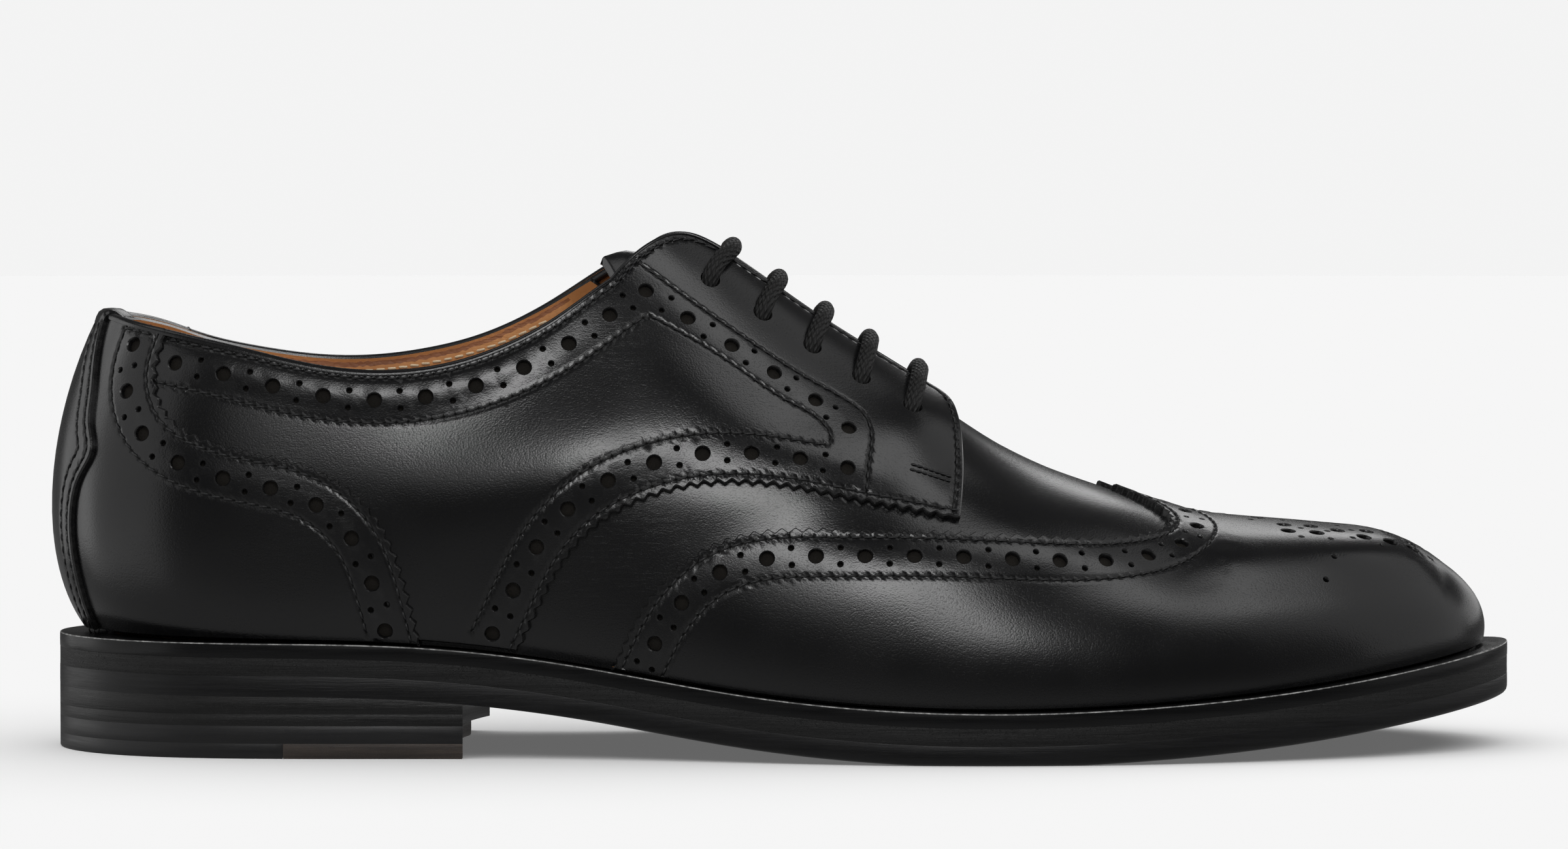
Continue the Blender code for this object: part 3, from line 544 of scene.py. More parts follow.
def last_slopes(points):
    """How the last runs per unit of way and per unit of share."""
    way = points[..., 0]
    share = np.clip(points[..., 1], 0.0, SHARE_END)
    along = last_point(way + WAY_STEP, share) - last_point(way - WAY_STEP, share)
    upward = last_point(way, share + SHARE_STEP) - last_point(way, share - SHARE_STEP)
    return along / (2.0 * WAY_STEP), upward / (2.0 * SHARE_STEP)


def last_normal(points):
    return unit(np.cross(*last_slopes(points)))


def girth_at(points):
    """Millimetres of leather for a unit of share."""
    return np.linalg.norm(last_slopes(points)[1], axis=1)


def on_leather(points, height):
    """Points (way, share) moved out from the last by the height, kept clear of the welt."""
    place = place_of(points) + last_normal(points) * np.asarray(height)[..., None]
    place[..., 2] = np.maximum(place[..., 2], seat_z(place[..., 0]) + FOOT_GAP)
    return place


def flat_pattern(points):
    """The last spread flat: every section is laid down at its own length, straight out from the ridge."""
    foot, low, high, ridge = section_pulls(points[..., 0])
    chord = np.linalg.norm(ridge - foot, axis=-1)
    hull = np.linalg.norm(low - foot, axis=-1) + np.linalg.norm(high - low, axis=-1)
    hull = hull + np.linalg.norm(ridge - high, axis=-1)
    out = unit(foot[..., :2] - ridge[..., :2])
    return ridge[..., :2] + out * ((1.0 - points[..., 1]) * (chord + hull) / 2.0)[..., None]


def ways_at(side, xs, shares):
    """The ways on one side where the last is x along the shoe at these shares of the rise."""
    ways = np.linspace(0.0 if side == LATERAL else ROUND, TOE_WAY, 400)
    along = last_point(ways[None, :], np.asarray(shares)[:, None])[..., 0]
    return np.array([np.interp(x, row, ways) for x, row in zip(xs, along)])


def pattern_points(side, rows):
    """Rows of (x, share) as rows of (way, share)."""
    xs, shares = np.asarray(rows, float).T
    return np.stack([ways_at(side, xs, shares), shares], axis=1)


def pattern_line(side, rows, step=EDGE_STEP):
    """A smooth line through rows of (x, share), as rows of (way, share) about a step apart."""
    rows = np.asarray(rows, float)
    run = np.hypot(np.diff(rows[:, 0]), np.diff(rows[:, 1]) * PATTERN_GIRTH)
    run = np.concatenate([[0.0], np.cumsum(run)])
    at = np.linspace(0.0, run[-1], max(2, int(round(run[-1] / step)) + 1))
    xs = open_spline(run, rows[:, 0])(at)
    shares = np.clip(open_spline(run, rows[:, 1])(at), 0.0, 1.0)
    return pattern_points(side, np.stack([xs, shares], axis=1))


def topline(side, back, front):
    """The collar's edge between two places along the shoe."""
    xs = np.linspace(back, front, max(3, int(abs(front - back) / 6.0)))
    return pattern_line(side, [(x, float(topline_of[side](x))) for x in xs])


def foot_line(start, end):
    """The feather line from one way to another."""
    ways = np.linspace(start, end, max(3, int(abs(end - start) / (2.0 * EDGE_STEP))))
    return np.stack([ways, np.zeros(len(ways))], axis=1)


def stand_on_welt(loop, height):
    """Lift the foot of a loop so that leather of this height over the last stays clear of the welt."""
    lean = np.radians(lean_of(loop[:, 0]))
    lowest = (height * np.sin(lean) + FOOT_GAP) / (3.0 * rise_of(loop[:, 0]) * np.cos(lean))
    return np.stack([loop[:, 0], np.maximum(loop[:, 1], lowest)], axis=1)


def moved(points, move):
    """Points (way, share) moved over the last by vectors in millimetres."""
    along, upward = last_slopes(points)
    aa = (along * along).sum(axis=1)
    bb = (upward * upward).sum(axis=1)
    ab = (along * upward).sum(axis=1)
    ma = (move * along).sum(axis=1)
    mb = (move * upward).sum(axis=1)
    square = aa * bb - ab * ab
    return points + np.stack([(bb * ma - ab * mb) / square, (aa * mb - ab * ma) / square], axis=1)


def leftward(line, closed=False):
    """Unit vectors on the last, square to the line and to its left as seen from outside."""
    place = place_of(line)
    run = np.roll(place, -1, axis=0) - np.roll(place, 1, axis=0) if closed else np.gradient(place, axis=0)
    return unit(np.cross(last_normal(line), unit(run)))


def beside(side, line, distance):
    """A line beside an edge, on the panel's side of it; edges run with the panel on their right."""
    turn = -1.0 if side == LATERAL else 1.0
    steps = max(1, int(np.ceil(abs(distance) / 1.2)))
    for _ in range(steps):
        line = moved(line, leftward(line) * (turn * distance / steps))
    return line[(line[:, 1] > 0.012) & (line[:, 1] < 0.999)]


def line_run(line):
    """The length walked along a line up to each of its points."""
    place = place_of(line)
    return np.concatenate([[0.0], np.cumsum(np.linalg.norm(np.diff(place, axis=0), axis=1))])


def spaced(line, pitch, start=0.0, end=0.0):
    """Points on a line a pitch apart."""
    run = line_run(line)
    at = np.arange(start, run[-1] - end, pitch)
    return np.stack([np.interp(at, run, line[:, 0]), np.interp(at, run, line[:, 1])], axis=1)


def inside(points, loop):
    """True for every point that lies in the closed loop."""
    found = np.zeros(len(points), bool)
    for a, b in zip(loop, np.roll(loop, -1, axis=0)):
        crosses = (a[1] > points[:, 1]) != (b[1] > points[:, 1])
        rise = b[1] - a[1] if b[1] != a[1] else 1e-12
        found ^= crosses & (points[:, 0] < a[0] + (points[:, 1] - a[1]) * (b[0] - a[0]) / rise)
    return found


def far_from(points, others, gap):
    """True for every point at least a gap away from all the other points."""
    keep = np.ones(len(points), bool)
    for start in range(0, len(others), 400):
        part = others[start:start + 400]
        near = (points[:, None, 0] - part[None, :, 0]) ** 2 + (points[:, None, 1] - part[None, :, 1]) ** 2
        keep &= near.min(axis=1) > gap * gap
    return keep


def hide_points():
    """Points all over the last about a step apart, every other row shifted by half a step."""
    ways = np.linspace(0.0, ROUND, 1301)
    rows = []
    for number, share in enumerate(np.linspace(0.0, 0.99, HIDE_ROWS)[1:]):
        line = np.stack([ways, np.full(len(ways), share)], axis=1)
        rows.append(spaced(line, HIDE_STEP, start=HIDE_STEP / 2.0 * (number % 2)))
    ridge = pattern_points(LATERAL, [(x, 1.0) for x in np.arange(-36.0, 114.0, HIDE_STEP)])
    return np.concatenate(rows + [ridge])


def band_lines(edge, distance):
    """The middle of a brogued band beside an edge, on both sides of the shoe."""
    return [beside(side, pattern_line(side, edge, COARSE_STEP), distance) for side in SIDES]


SHOULDER_LINES = [pattern_line(side, TOE_SHOULDER, COARSE_STEP) for side in SIDES]
FOOT_SEAMS = [
    beside(side, pattern_line(side, QUARTER_FOOT, COARSE_STEP)[3:-14], FOOT_ROWS[1]) for side in SIDES
]
FACING_LINES = [pattern_line(side, [CORNER_HOLE] + FACING_HOLES, COARSE_STEP) for side in SIDES]
BAND_LINES = {
    "quarter": band_lines(QUARTER_FOOT, FOOT_ROWS[0]) + FACING_LINES,
    "counter": band_lines(COUNTER_EDGE, COUNTER_ROWS[0]),
    "wing": band_lines(WING_EDGE, WING_ROWS[0]),
}
HIDE = hide_points()
HIDE_FLAT = flat_pattern(HIDE)


def swell(points):
    """The soft dents and swells of the leather at points (way, share)."""
    place = place_of(points)
    total = np.zeros(len(points))
    for side, x, share, along, across, turn, rise in SWELLS:
        middle = place_of(pattern_points(side, [(x, share)]))[0]
        away = place - middle
        height = away[:, 2] * 1.05
        lean = np.radians(turn)
        run = away[:, 0] * np.cos(lean) + height * np.sin(lean)
        side_run = height * np.cos(lean) - away[:, 0] * np.sin(lean)
        near = np.where(np.sign(place[:, 1] - 4.0) == np.sign(middle[1] - 4.0), 1.0, 0.0)
        total += near * rise * np.exp(-(run / along) ** 2 - (side_run / across) ** 2)
    return total


def ridge_along(points, lines, rise, half_above, half_below, ends=(20.0, 14.0)):
    """A soft ridge of the leather along pattern lines, fading out at their ends."""
    place = place_of(points)
    total = np.zeros(len(points))
    for line in lines:
        run = line_run(line)
        fade = smoothstep(0.0, ends[0], run) * smoothstep(0.0, ends[1], run[-1] - run)
        crest = place_of(line)
        for start in range(0, len(points), 2000):
            part = slice(start, start + 2000)
            away = np.linalg.norm(place[part, None] - crest[None], axis=2)
            near = away.argmin(axis=1)
            reach = away[np.arange(len(near)), near]
            half = np.where(points[part, 1] > line[near, 1], half_above, half_below)
            total[part] += rise * fade[near] * np.exp(-(reach / half) ** 2)
    return total


def toe_shoulder(points):
    """The crisp shoulder between the toe's top and its wall, on both sides."""
    return ridge_along(points, SHOULDER_LINES, SHOULDER_RISE, SHOULDER_ABOVE, SHOULDER_BELOW)


def foot_seam(points):
    """The quarter stands a little proud along the upper stitch row over its foot."""
    return ridge_along(points, FOOT_SEAMS, FOOT_SEAM_RISE, FOOT_SEAM_HALF, FOOT_SEAM_HALF)


def band_puff(points, panel):
    """The soft roundness of a panel's brogued bands between their stitch rows."""
    return ridge_along(points, BAND_LINES[panel], BAND_PUFF, BAND_HALF, BAND_HALF, (6.0, 6.0))


def collar_puff(points):
    """The soft roundness of the padded strip under the collar's edge."""
    place = place_of(points)
    lateral = np.mod(points[:, 0], ROUND) < TOE_WAY
    edge = np.where(lateral, topline_of[LATERAL](place[:, 0]), topline_of[MEDIAL](place[:, 0]))
    girth = girth_at(points)
    below = np.clip((edge - points[:, 1]) * girth / COLLAR_ROWS[1], 0.0, 1.0)
    reach = smoothstep(-131.0, -118.0, place[:, 0]) * smoothstep(-36.0, -62.0, place[:, 0])
    return COLLAR_PUFF * reach * np.sin(np.pi * below) ** 2


def even(height):
    return lambda points: np.full(len(points), height)


def wing_top(points):
    return PANEL_TOP + swell(points) + toe_shoulder(points) + band_puff(points, "wing")


def quarter_top(points):
    lift = LIFT_TOP * smoothstep(LIFT_FROM, LIFT_TO, points[:, 1])
    puff = collar_puff(points) + band_puff(points, "quarter")
    return PANEL_TOP + lift + swell(points) + puff + foot_seam(points)


def counter_top(points):
    return COUNTER_TOP + swell(points) + band_puff(points, "counter")


def quarter_bottom(points):
    lift = LIFT_UNDER * smoothstep(LIFT_FROM, LIFT_TO, points[:, 1])
    return PANEL_BOTTOM + lift + np.minimum(swell(points), 0.0)


def tongue_top(points):
    x = x_of(points)
    curl = 3.0 * smoothstep(-29.0, -36.0, x)
    return TONGUE_TOP - TONGUE_SINK * smoothstep(TONGUE_SINK_FROM, TONGUE_SINK_TO, x) - curl


def tongue_bottom(points):
    return tongue_top(points) - TONGUE_THICK


# Meshes

def make_piece(name, vertices, faces, finishes, finish_of=None, edge=None, uv=None, sharp=42.0):
    """A smooth mesh piece in the row frame; finish_of gives each face its finish, edge marks cut edges and
    needle holes for rubbed wear, painted glints and painted shade.
    """
    mesh = bpy.data.meshes.new(name)
    mesh.from_pydata(((np.asarray(vertices) + ROW_MOVE) * MM).tolist(), [], faces)
    for finish in finishes:
        mesh.materials.append(finish)
    if finish_of is not None:
        mesh.polygons.foreach_set("material_index", np.asarray(finish_of, np.int32))
    if edge is not None:
        wear_glint_shade_mark = mesh.attributes.new("wear_glint_and_shade_mark", "FLOAT", "POINT")
        wear_glint_shade_mark.data.foreach_set("value", np.asarray(edge, np.float32))
    mesh.polygons.foreach_set("use_smooth", np.ones(len(mesh.polygons), bool))
    mesh.set_sharp_from_angle(angle=np.radians(sharp))
    if uv is not None:
        layer = mesh.uv_layers.new(name="UVMap")
        corner = np.zeros(len(mesh.loops), np.int32)
        mesh.loops.foreach_get("vertex_index", corner)
        layer.data.foreach_set("uv", np.asarray(uv, np.float32)[corner].ravel())
    mesh.update()
    piece = bpy.data.objects.new(name, mesh)
    bpy.context.scene.collection.objects.link(piece)
    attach(piece, "root")
    return piece


def triangulate(flat, loops):
    """Triangles between the outer loop and the rings inside it; loops are rows of point numbers."""
    owner = np.full(len(flat), -1)
    edges = []
    for number, loop in enumerate(loops):
        owner[loop] = number
        edges += list(zip(loop.tolist(), np.roll(loop, -1).tolist()))
    found = delaunay_2d_cdt([Vector(p) for p in flat.tolist()], edges, [], 1, 1e-7)
    origin = np.array([source[0] if source else -1 for source in found[3]])
    faces = origin[np.array(found[2])]
    faces = faces[(faces >= 0).all(axis=1)]
    owners = owner[faces]
    alone = (owners[:, 0] == owners[:, 1]) & (owners[:, 1] == owners[:, 2])
    faces = faces[~(alone & (owners[:, 0] > 0))]
    owners = owner[faces]
    rim_only = (owners == 0).all(axis=1)
    keep = np.ones(len(faces), bool)
    keep[rim_only] = inside(flat[faces[rim_only]].mean(axis=1), flat[loops[0]])
    return faces[keep]


def turns_left(flat):
    """True where a closed loop runs anticlockwise in the plane."""
    after = np.roll(flat, -1, axis=0)
    return (flat[:, 0] * after[:, 1] - flat[:, 1] * after[:, 0]).sum() > 0.0


def rings_about(first, second, sides):
    """Rings of unit vectors, one round each pair of directions."""
    turn = np.linspace(0.0, 2.0 * np.pi, sides, endpoint=False)[None, :, None]
    return np.cos(turn) * first[:, None] + np.sin(turn) * second[:, None]


def sweep(rows, count):
    """Faces of a strip with `count` points in each of its rows, closed round and at both ends."""
    numbers = np.arange(rows * count).reshape(rows, count)
    after = np.roll(numbers, -1, axis=1)
    faces = np.stack([numbers[:-1], numbers[1:], after[1:], after[:-1]], axis=-1).reshape(-1, 4)
    return faces.tolist() + [numbers[0, ::-1].tolist(), numbers[-1].tolist()]


def folded_strip(name, line, height, below, finishes, finish_of=None, sharp=60.0, turned=False):
    """A strip along a line on the last: heights over it and distances below it, a row for each place."""
    share = line[:, 1][:, None] - below / girth_at(line)[:, None]
    way = np.repeat(line[:, 0][:, None], share.shape[1], axis=1)
    vertices = on_leather(np.stack([way, share], axis=-1), height).reshape(-1, 3)
    faces = sweep(*share.shape)
    if turned:
        faces[:-2] = [face[::-1] for face in faces[:-2]]
    return make_piece(name, vertices, faces, finishes, finish_of, sharp=sharp)


def strip_faces(upper, lower):
    """Quads between two rings of point numbers, the first one inside the second."""
    return np.stack([upper, lower, np.roll(lower, -1), np.roll(upper, -1)], axis=1)


def outline(*parts):
    """A closed loop from lines in order, each with True where its edge is gimped; anticlockwise."""
    points = []
    teeth = []
    for line, gimped in parts:
        run = line_run(line)
        tooth = np.zeros(len(line))
        if gimped:
            fade = smoothstep(0.0, 5.0, np.minimum(run, run[-1] - run))
            wave = np.arcsin(0.94 * np.sin(2.0 * np.pi * run / TOOTH_PITCH)) / 1.22
            tooth = TOOTH_DEPTH * wave * fade * (1.0 - 0.5 * smoothstep(0.75, 0.95, line[:, 1]))
        points.append(line[:-1])
        teeth.append(tooth[:-1])
    points = np.concatenate(points)
    teeth = np.concatenate(teeth)
    place = place_of(points)
    keep = np.linalg.norm(place - np.roll(place, 1, axis=0), axis=1) > 0.12
    points, teeth = points[keep], teeth[keep]
    return (points, teeth) if turns_left(flat_pattern(points)) else (points[::-1], teeth[::-1])


def punch(centres, radius, sides):
    """Round rings on the leather about the centres, one row of points (way, share) for each."""
    along, upward = last_slopes(centres)
    first = unit(along)
    second = unit(upward - first * (upward * first).sum(axis=1, keepdims=True))
    rings = radius * rings_about(first, second, sides)
    points = moved(np.repeat(centres, sides, axis=0), rings.reshape(-1, 3))
    return points.reshape(len(centres), sides, 2)


def groove_rows(rows):
    """Points along stitch rows: the groove with a needle hole at each stitch's end, and its two banks."""
    points = []
    depth = []
    for line in rows:
        middle = spaced(line, STITCH_PITCH / 2.0)
        if len(middle) < 3:
            continue
        side = leftward(middle)
        ahead = unit(np.gradient(place_of(middle), axis=0))
        needle = np.arange(len(middle)) % 2 == 0
        points.append(middle)
        depth.append(np.where(needle, NEEDLE_DEPTH, GROOVE_DEPTH))
        for step in (-NEEDLE_HALF, NEEDLE_HALF):
            points.append(moved(middle[needle], ahead[needle] * step))
            depth.append(np.full(needle.sum(), 0.6 * NEEDLE_DEPTH))
        for bank in (GROOVE_HALF, GROOVE_HALF + BANK, GROOVE_HALF + 2.0 * BANK):
            pull = BANK_PULL if bank == GROOVE_HALF else 0.0
            for turn in (-1.0, 1.0):
                points.append(moved(middle, side * (turn * bank)))
                depth.append(np.where(needle, pull, 0.0))
    if not points:
        return np.zeros((0, 2)), np.zeros(0)
    return np.concatenate(points), np.concatenate(depth)


def punch_list(bigs, smalls, eyelets):
    """Each kind of hole with its centres, radius, soft edge, number of sides and whether leather backs it."""
    kinds = ((bigs, BIG_HOLE, 18, True), (smalls, SMALL_HOLE, 9, True), (eyelets, EYELET_RADIUS, 18, False))
    return [
        (np.asarray(centres), radius, min(0.2, radius * 0.4), sides, backed)
        for centres, radius, sides, backed in kinds if len(centres)
    ]


def fill_leather(flats, first_hole, rows, guards):
    """The points inside a panel: its stitch grooves and how deep they are, and plain leather between."""
    groove, depth = groove_rows(rows)
    groove = np.concatenate([groove, *guards])
    depth = np.concatenate([depth, np.zeros(len(groove) - len(depth))])
    groove_flat = flat_pattern(groove)
    fill = HIDE[inside(HIDE_FLAT, flats[0])]
    fill_flat = flat_pattern(fill)
    rings = np.concatenate(flats)
    sewn = inside(groove_flat, flats[0]) & far_from(groove_flat, rings, GROOVE_CLEAR[0])
    plain = far_from(fill_flat, rings, PLAIN_CLEAR[0])
    for opening in flats[1:first_hole]:
        plain &= ~inside(fill_flat, opening)
    for ring in flats[first_hole:]:
        middle = ring.mean(axis=0)
        reach = np.linalg.norm(ring - middle, axis=1).max()
        sewn &= np.linalg.norm(groove_flat - middle, axis=1) > reach + GROOVE_CLEAR[1]
        plain &= np.linalg.norm(fill_flat - middle, axis=1) > reach + PLAIN_CLEAR[1]
    groove, depth, groove_flat = groove[sewn], depth[sewn], groove_flat[sewn]
    cells = np.unique(np.round(groove_flat / GROOVE_CELL).astype(int), axis=0, return_index=True)[1]
    plain &= far_from(fill_flat, groove_flat[cells], PLAIN_TO_GROOVE)
    return groove[cells], depth[cells], fill[plain]


def calf_panel(name, loop, top, bottom, finishes, bigs=(), smalls=(), eyelets=(), rows=(), opening=None):
    """A leather panel cut from the last: rounded edges, teeth, punched holes, stitch grooves, underside."""
    rim, tooth = loop
    rim = stand_on_welt(rim, float(top(rim).max()))
    side = leftward(rim, closed=True)
    edge = moved(rim, -side * tooth[:, None])
    rim = moved(rim, side * (EDGE_ROUND - tooth)[:, None])
    loops = [rim]
    walls = [(edge, EDGE_ROUND, False)]
    guards = [moved(rim, side * 0.5)[::2]]
    if opening is not None:
        loops.append(moved(opening, -leftward(opening, closed=True) * EDGE_ROUND))
        walls.append((opening, EDGE_ROUND, False))
    first_hole = len(loops)
    for centres, radius, soft, sides, backed in punch_list(bigs, smalls, eyelets):
        loops += list(punch(centres, radius + soft, sides))
        walls += [(ring, soft * 1.15, backed) for ring in punch(centres, radius, sides)]
        guards.append(punch(centres, radius + soft + 0.4, sides).reshape(-1, 2))
    groove, depth, fill = fill_leather([flat_pattern(ring) for ring in loops], first_hole, rows, guards)
    points = np.concatenate([*loops, groove, fill])
    starts = np.cumsum([0] + [len(ring) for ring in loops])
    numbers = [np.arange(a, b) for a, b in zip(starts[:-1], starts[1:])]
    count = len(points)
    sewn = slice(starts[-1], starts[-1] + len(groove))
    sink = np.zeros(count)
    sink[sewn] = depth
    # rims and hole lips are marked for the lighter cut edges (wear and painted glint), needle holes for
    # painted shade
    wear_glint_shade_mark = np.zeros(2 * count)
    wear_glint_shade_mark[:starts[-1]] = 0.35
    wear_glint_shade_mark[sewn] = -smoothstep(GROOVE_DEPTH, NEEDLE_DEPTH, depth)
    faces = triangulate(flat_pattern(points), numbers)
    under = np.arange(count) + count
    under_place = on_leather(points, bottom(points))
    vertices = [on_leather(points, top(points) - sink), under_place]
    marks = [wear_glint_shade_mark]
    quads = []
    discs = []
    plugs = []
    following = 2 * count
    for number, (ring, drop, backed) in zip(numbers, walls):
        high = top(ring)
        shut = high - HOLE_DEPTH if backed else bottom(ring)
        size = len(ring)
        lip = np.arange(size) + following
        base = lip + size
        following += 2 * size
        vertices += [on_leather(ring, high - drop), on_leather(ring, shut)]
        marks += [np.ones(size), np.full(size, 0.5)]
        quads += [strip_faces(number, lip), strip_faces(lip, base)]
        if backed:
            discs.append(base.tolist())
            plugs.append(under[number].tolist()[::-1])
        else:
            under_place[number] = on_leather(ring, shut)
            quads.append(strip_faces(base, under[number]))
    outside = faces.tolist() + np.concatenate(quads).tolist()
    below = under[faces[:, ::-1]].tolist() + plugs
    finish_of = [0] * len(outside) + [2] * len(discs) + [1] * len(below)
    return make_piece(name, np.concatenate(vertices), outside + discs + below, finishes, finish_of,
                      np.concatenate(marks))


THREADS = {}


def sew(group, line, top, pitch=STITCH_PITCH, length=STITCH_LENGTH, rise=0.0, width=1.0, dive=0.42):
    """Lay a row of stitches along a line, kept with the others of its group until they are joined."""
    centres = spaced(line, pitch, start=pitch * 0.5, end=pitch * 0.3)
    if len(centres) < 2:
        return
    shaky = np.random.default_rng(len(centres) * 7 + len(group))
    normal = last_normal(centres)
    place = on_leather(centres, top(centres) - 0.01 + rise)
    ahead = np.gradient(place, axis=0)
    ahead = unit(ahead - normal * (ahead * normal).sum(axis=1, keepdims=True))
    across = np.cross(normal, ahead)
    twist = shaky.normal(0.0, 0.055, len(place)) + 0.07
    ahead, across = ahead + across * twist[:, None], across - ahead * twist[:, None]
    half = length / 2.0 * shaky.uniform(0.93, 1.07, len(place))
    lift = np.array([-dive, -0.15 * dive, 0.08, -0.15 * dive, -dive])
    turn = np.linspace(0.0, 2.0 * np.pi, STITCH_SIDES, endpoint=False)
    middle = place[:, None] + ahead[:, None] * (half[:, None] * STITCH_STATIONS)[..., None]
    middle = middle + normal[:, None] * lift[None, :, None]
    ring = np.cos(turn)[None, None, :, None] * across[:, None, None] * STITCH_HALF_WIDTH * width
    ring = ring + np.sin(turn)[None, None, :, None] * normal[:, None, None] * STITCH_HALF_RISE
    rings = middle[:, :, None] + ring * STITCH_GIRTH[None, :, None, None]
    THREADS.setdefault(group, []).append(rings.reshape(-1, STITCH_POINTS, 3))


def join_threads(group, finish):
    """All stitches of a group as one mesh."""
    stitches = np.concatenate(THREADS[group])
    numbers = np.arange(STITCH_POINTS).reshape(-1, STITCH_SIDES)
    one = np.concatenate([strip_faces(a, b)[:, [0, 3, 2, 1]] for a, b in zip(numbers[:-1], numbers[1:])])
    ends = np.stack([numbers[0, ::-1], numbers[-1]])
    first = STITCH_POINTS * np.arange(len(stitches))[:, None, None]
    quads = (one + first).reshape(-1, 4).tolist()
    caps = (ends + first).reshape(-1, STITCH_SIDES).tolist()
    return make_piece(group, stitches.reshape(-1, 3), quads + caps, [finish], sharp=80.0)


def clear_of(points, others, gap):
    """The points that lie at least a gap away from the others on the last."""
    away = place_of(points)[:, None] - place_of(others)[None]
    return points[np.linalg.norm(away, axis=2).min(axis=1) > gap]


def hole_row(line, start, skip_end=0.0, pitch=HOLE_PITCH):
    """Big holes a pitch apart along a line, and between them pairs of small ones."""
    bigs = spaced(line, pitch, start=start, end=skip_end)
    half = pitch / 2.0
    between = spaced(line, pitch, start=start - half if start > half else start + half, end=skip_end)
    if len(between) < 2:
        return bigs, np.zeros((0, 2))
    return bigs, small_pairs(between)


def small_pairs(between):
    """A pair of small holes across the row at each place."""
    left = leftward(between)
    return np.concatenate([moved(between, left * PAIR_HALF), moved(between, -left * PAIR_HALF)])


# Finishes

def node(tree, kind, settings=(), **inputs):
    """A shader node with its settings made and its named or numbered inputs set or linked."""
    made = tree.nodes.new(kind)
    for name, value in settings:
        setattr(made, name, value)
    for name, value in inputs.items():
        plug(tree, made, name, value)
    return made


def plug(tree, made, name, value):
    """Link or set one input of a node, named, or numbered as _0, _1 and so on."""
    socket = made.inputs[int(name[1:])] if name[0] == "_" else made.inputs[name.replace("_", " ")]
    if isinstance(value, bpy.types.NodeSocket):
        tree.links.new(value, socket)
    else:
        socket.default_value = value


def maths(tree, operation, first, second=0.0, third=0.0):
    """One step of arithmetic."""
    made = node(tree, "ShaderNodeMath", [("operation", operation)], _0=first, _1=second, _2=third)
    return made.outputs[0]


def vectors(tree, operation, **inputs):
    """One step of arithmetic with vectors."""
    return node(tree, "ShaderNodeVectorMath", [("operation", operation)], **inputs).outputs[0]


def ramp(tree, value, low, high, start=0.0, end=1.0):
    """The value between two marks taken to a new range, eased at both ends."""
    made = node(tree, "ShaderNodeMapRange", [("interpolation_type", "SMOOTHSTEP")],
                _0=value, _1=low, _2=high, _3=start, _4=end)
    return made.outputs[0]


def mixed(tree, share, first, second):
    """A colour between two colours, each of them a link or its red, green and blue."""
    first, second = [c + (1.0,) if isinstance(c, tuple) else c for c in (first, second)]
    return node(tree, "ShaderNodeMix", [("data_type", "RGBA")], _0=share, _6=first, _7=second).outputs[2]


def effect(name, inputs, outputs):
    """An empty node group with named number inputs and named outputs."""
    tree = bpy.data.node_groups.new(name, "ShaderNodeTree")
    for label, value in inputs:
        socket = tree.interface.new_socket(label, in_out="INPUT", socket_type="NodeSocketFloat")
        socket.default_value = value
    for label in outputs:
        tree.interface.new_socket(label, in_out="OUTPUT", socket_type="NodeSocketFloat")
    return tree, tree.nodes.new("NodeGroupInput").outputs, tree.nodes.new("NodeGroupOutput")


def leather_space(tree, scale, stretch=(1.0, 1.0, 1.0)):
    """Coordinates in millimetres over the given cell size, stretched along the shoe."""
    place = tree.nodes.new("ShaderNodeTexCoord").outputs["Object"]
    stretched = vectors(tree, "MULTIPLY", _0=place, _1=tuple(1000.0 * s for s in stretch))
    return vectors(tree, "SCALE", _0=stretched, Scale=scale)


def noise(tree, vector, scale, detail=2.0, roughness=0.5, distortion=0.0, output="Fac"):
    """Soft noise; its colour output gives three numbers at once."""
    made = node(tree, "ShaderNodeTexNoise", Vector=vector, Scale=scale, Detail=detail, Roughness=roughness,
                Distortion=distortion)
    return made.outputs[output]


def calf_grain_effect():
    """Fine calf grain with thin level wrinkles in patches; heights and tone vary over the surface."""
    tree, given, out = effect("calf_grain", [("Cell", 0.36), ("Crease", 0.5)], ["Height", "Pore", "Tone"])
    per_cell = maths(tree, "DIVIDE", 1.0, given["Cell"])
    space = leather_space(tree, per_cell, (0.8, 0.85, 1.0))
    warp = noise(tree, space, 0.5, output="Color")
    bend = vectors(tree, "MULTIPLY_ADD", _0=warp, _1=(1.1, 1.1, 1.1), _2=space)
    dome = node(tree, "ShaderNodeTexVoronoi", Vector=bend, Scale=1.0).outputs["Distance"]
    dome = maths(tree, "SUBTRACT", 1.0, maths(tree, "POWER", dome, 2.0))
    fine = noise(tree, space, 1.6, 2.0, 0.6)
    wide = noise(tree, leather_space(tree, 1.0), 0.045, 2.0, 0.5)
    long_space = leather_space(tree, 1.0, (0.16, 0.2, 1.0))
    fold = noise(tree, long_space, 1.0, 3.0, 0.6, 0.7)
    fold = ramp(tree, maths(tree, "ABSOLUTE", maths(tree, "SUBTRACT", fold, 0.5)), 0.0, 0.08, 1.0, 0.0)
    where = ramp(tree, wide, 0.46, 0.66)
    fold = maths(tree, "MULTIPLY", maths(tree, "MULTIPLY", fold, where), given["Crease"])
    height = maths(tree, "MULTIPLY_ADD", dome, 0.65, maths(tree, "MULTIPLY", fine, 0.35))
    height = maths(tree, "SUBTRACT", height, fold)
    plug(tree, out, "Height", height)
    pore = maths(tree, "MAXIMUM", ramp(tree, dome, 0.2, 0.75, 1.0, 0.0), fold)
    plug(tree, out, "Pore", pore)
    plug(tree, out, "Tone", wide)
    return tree


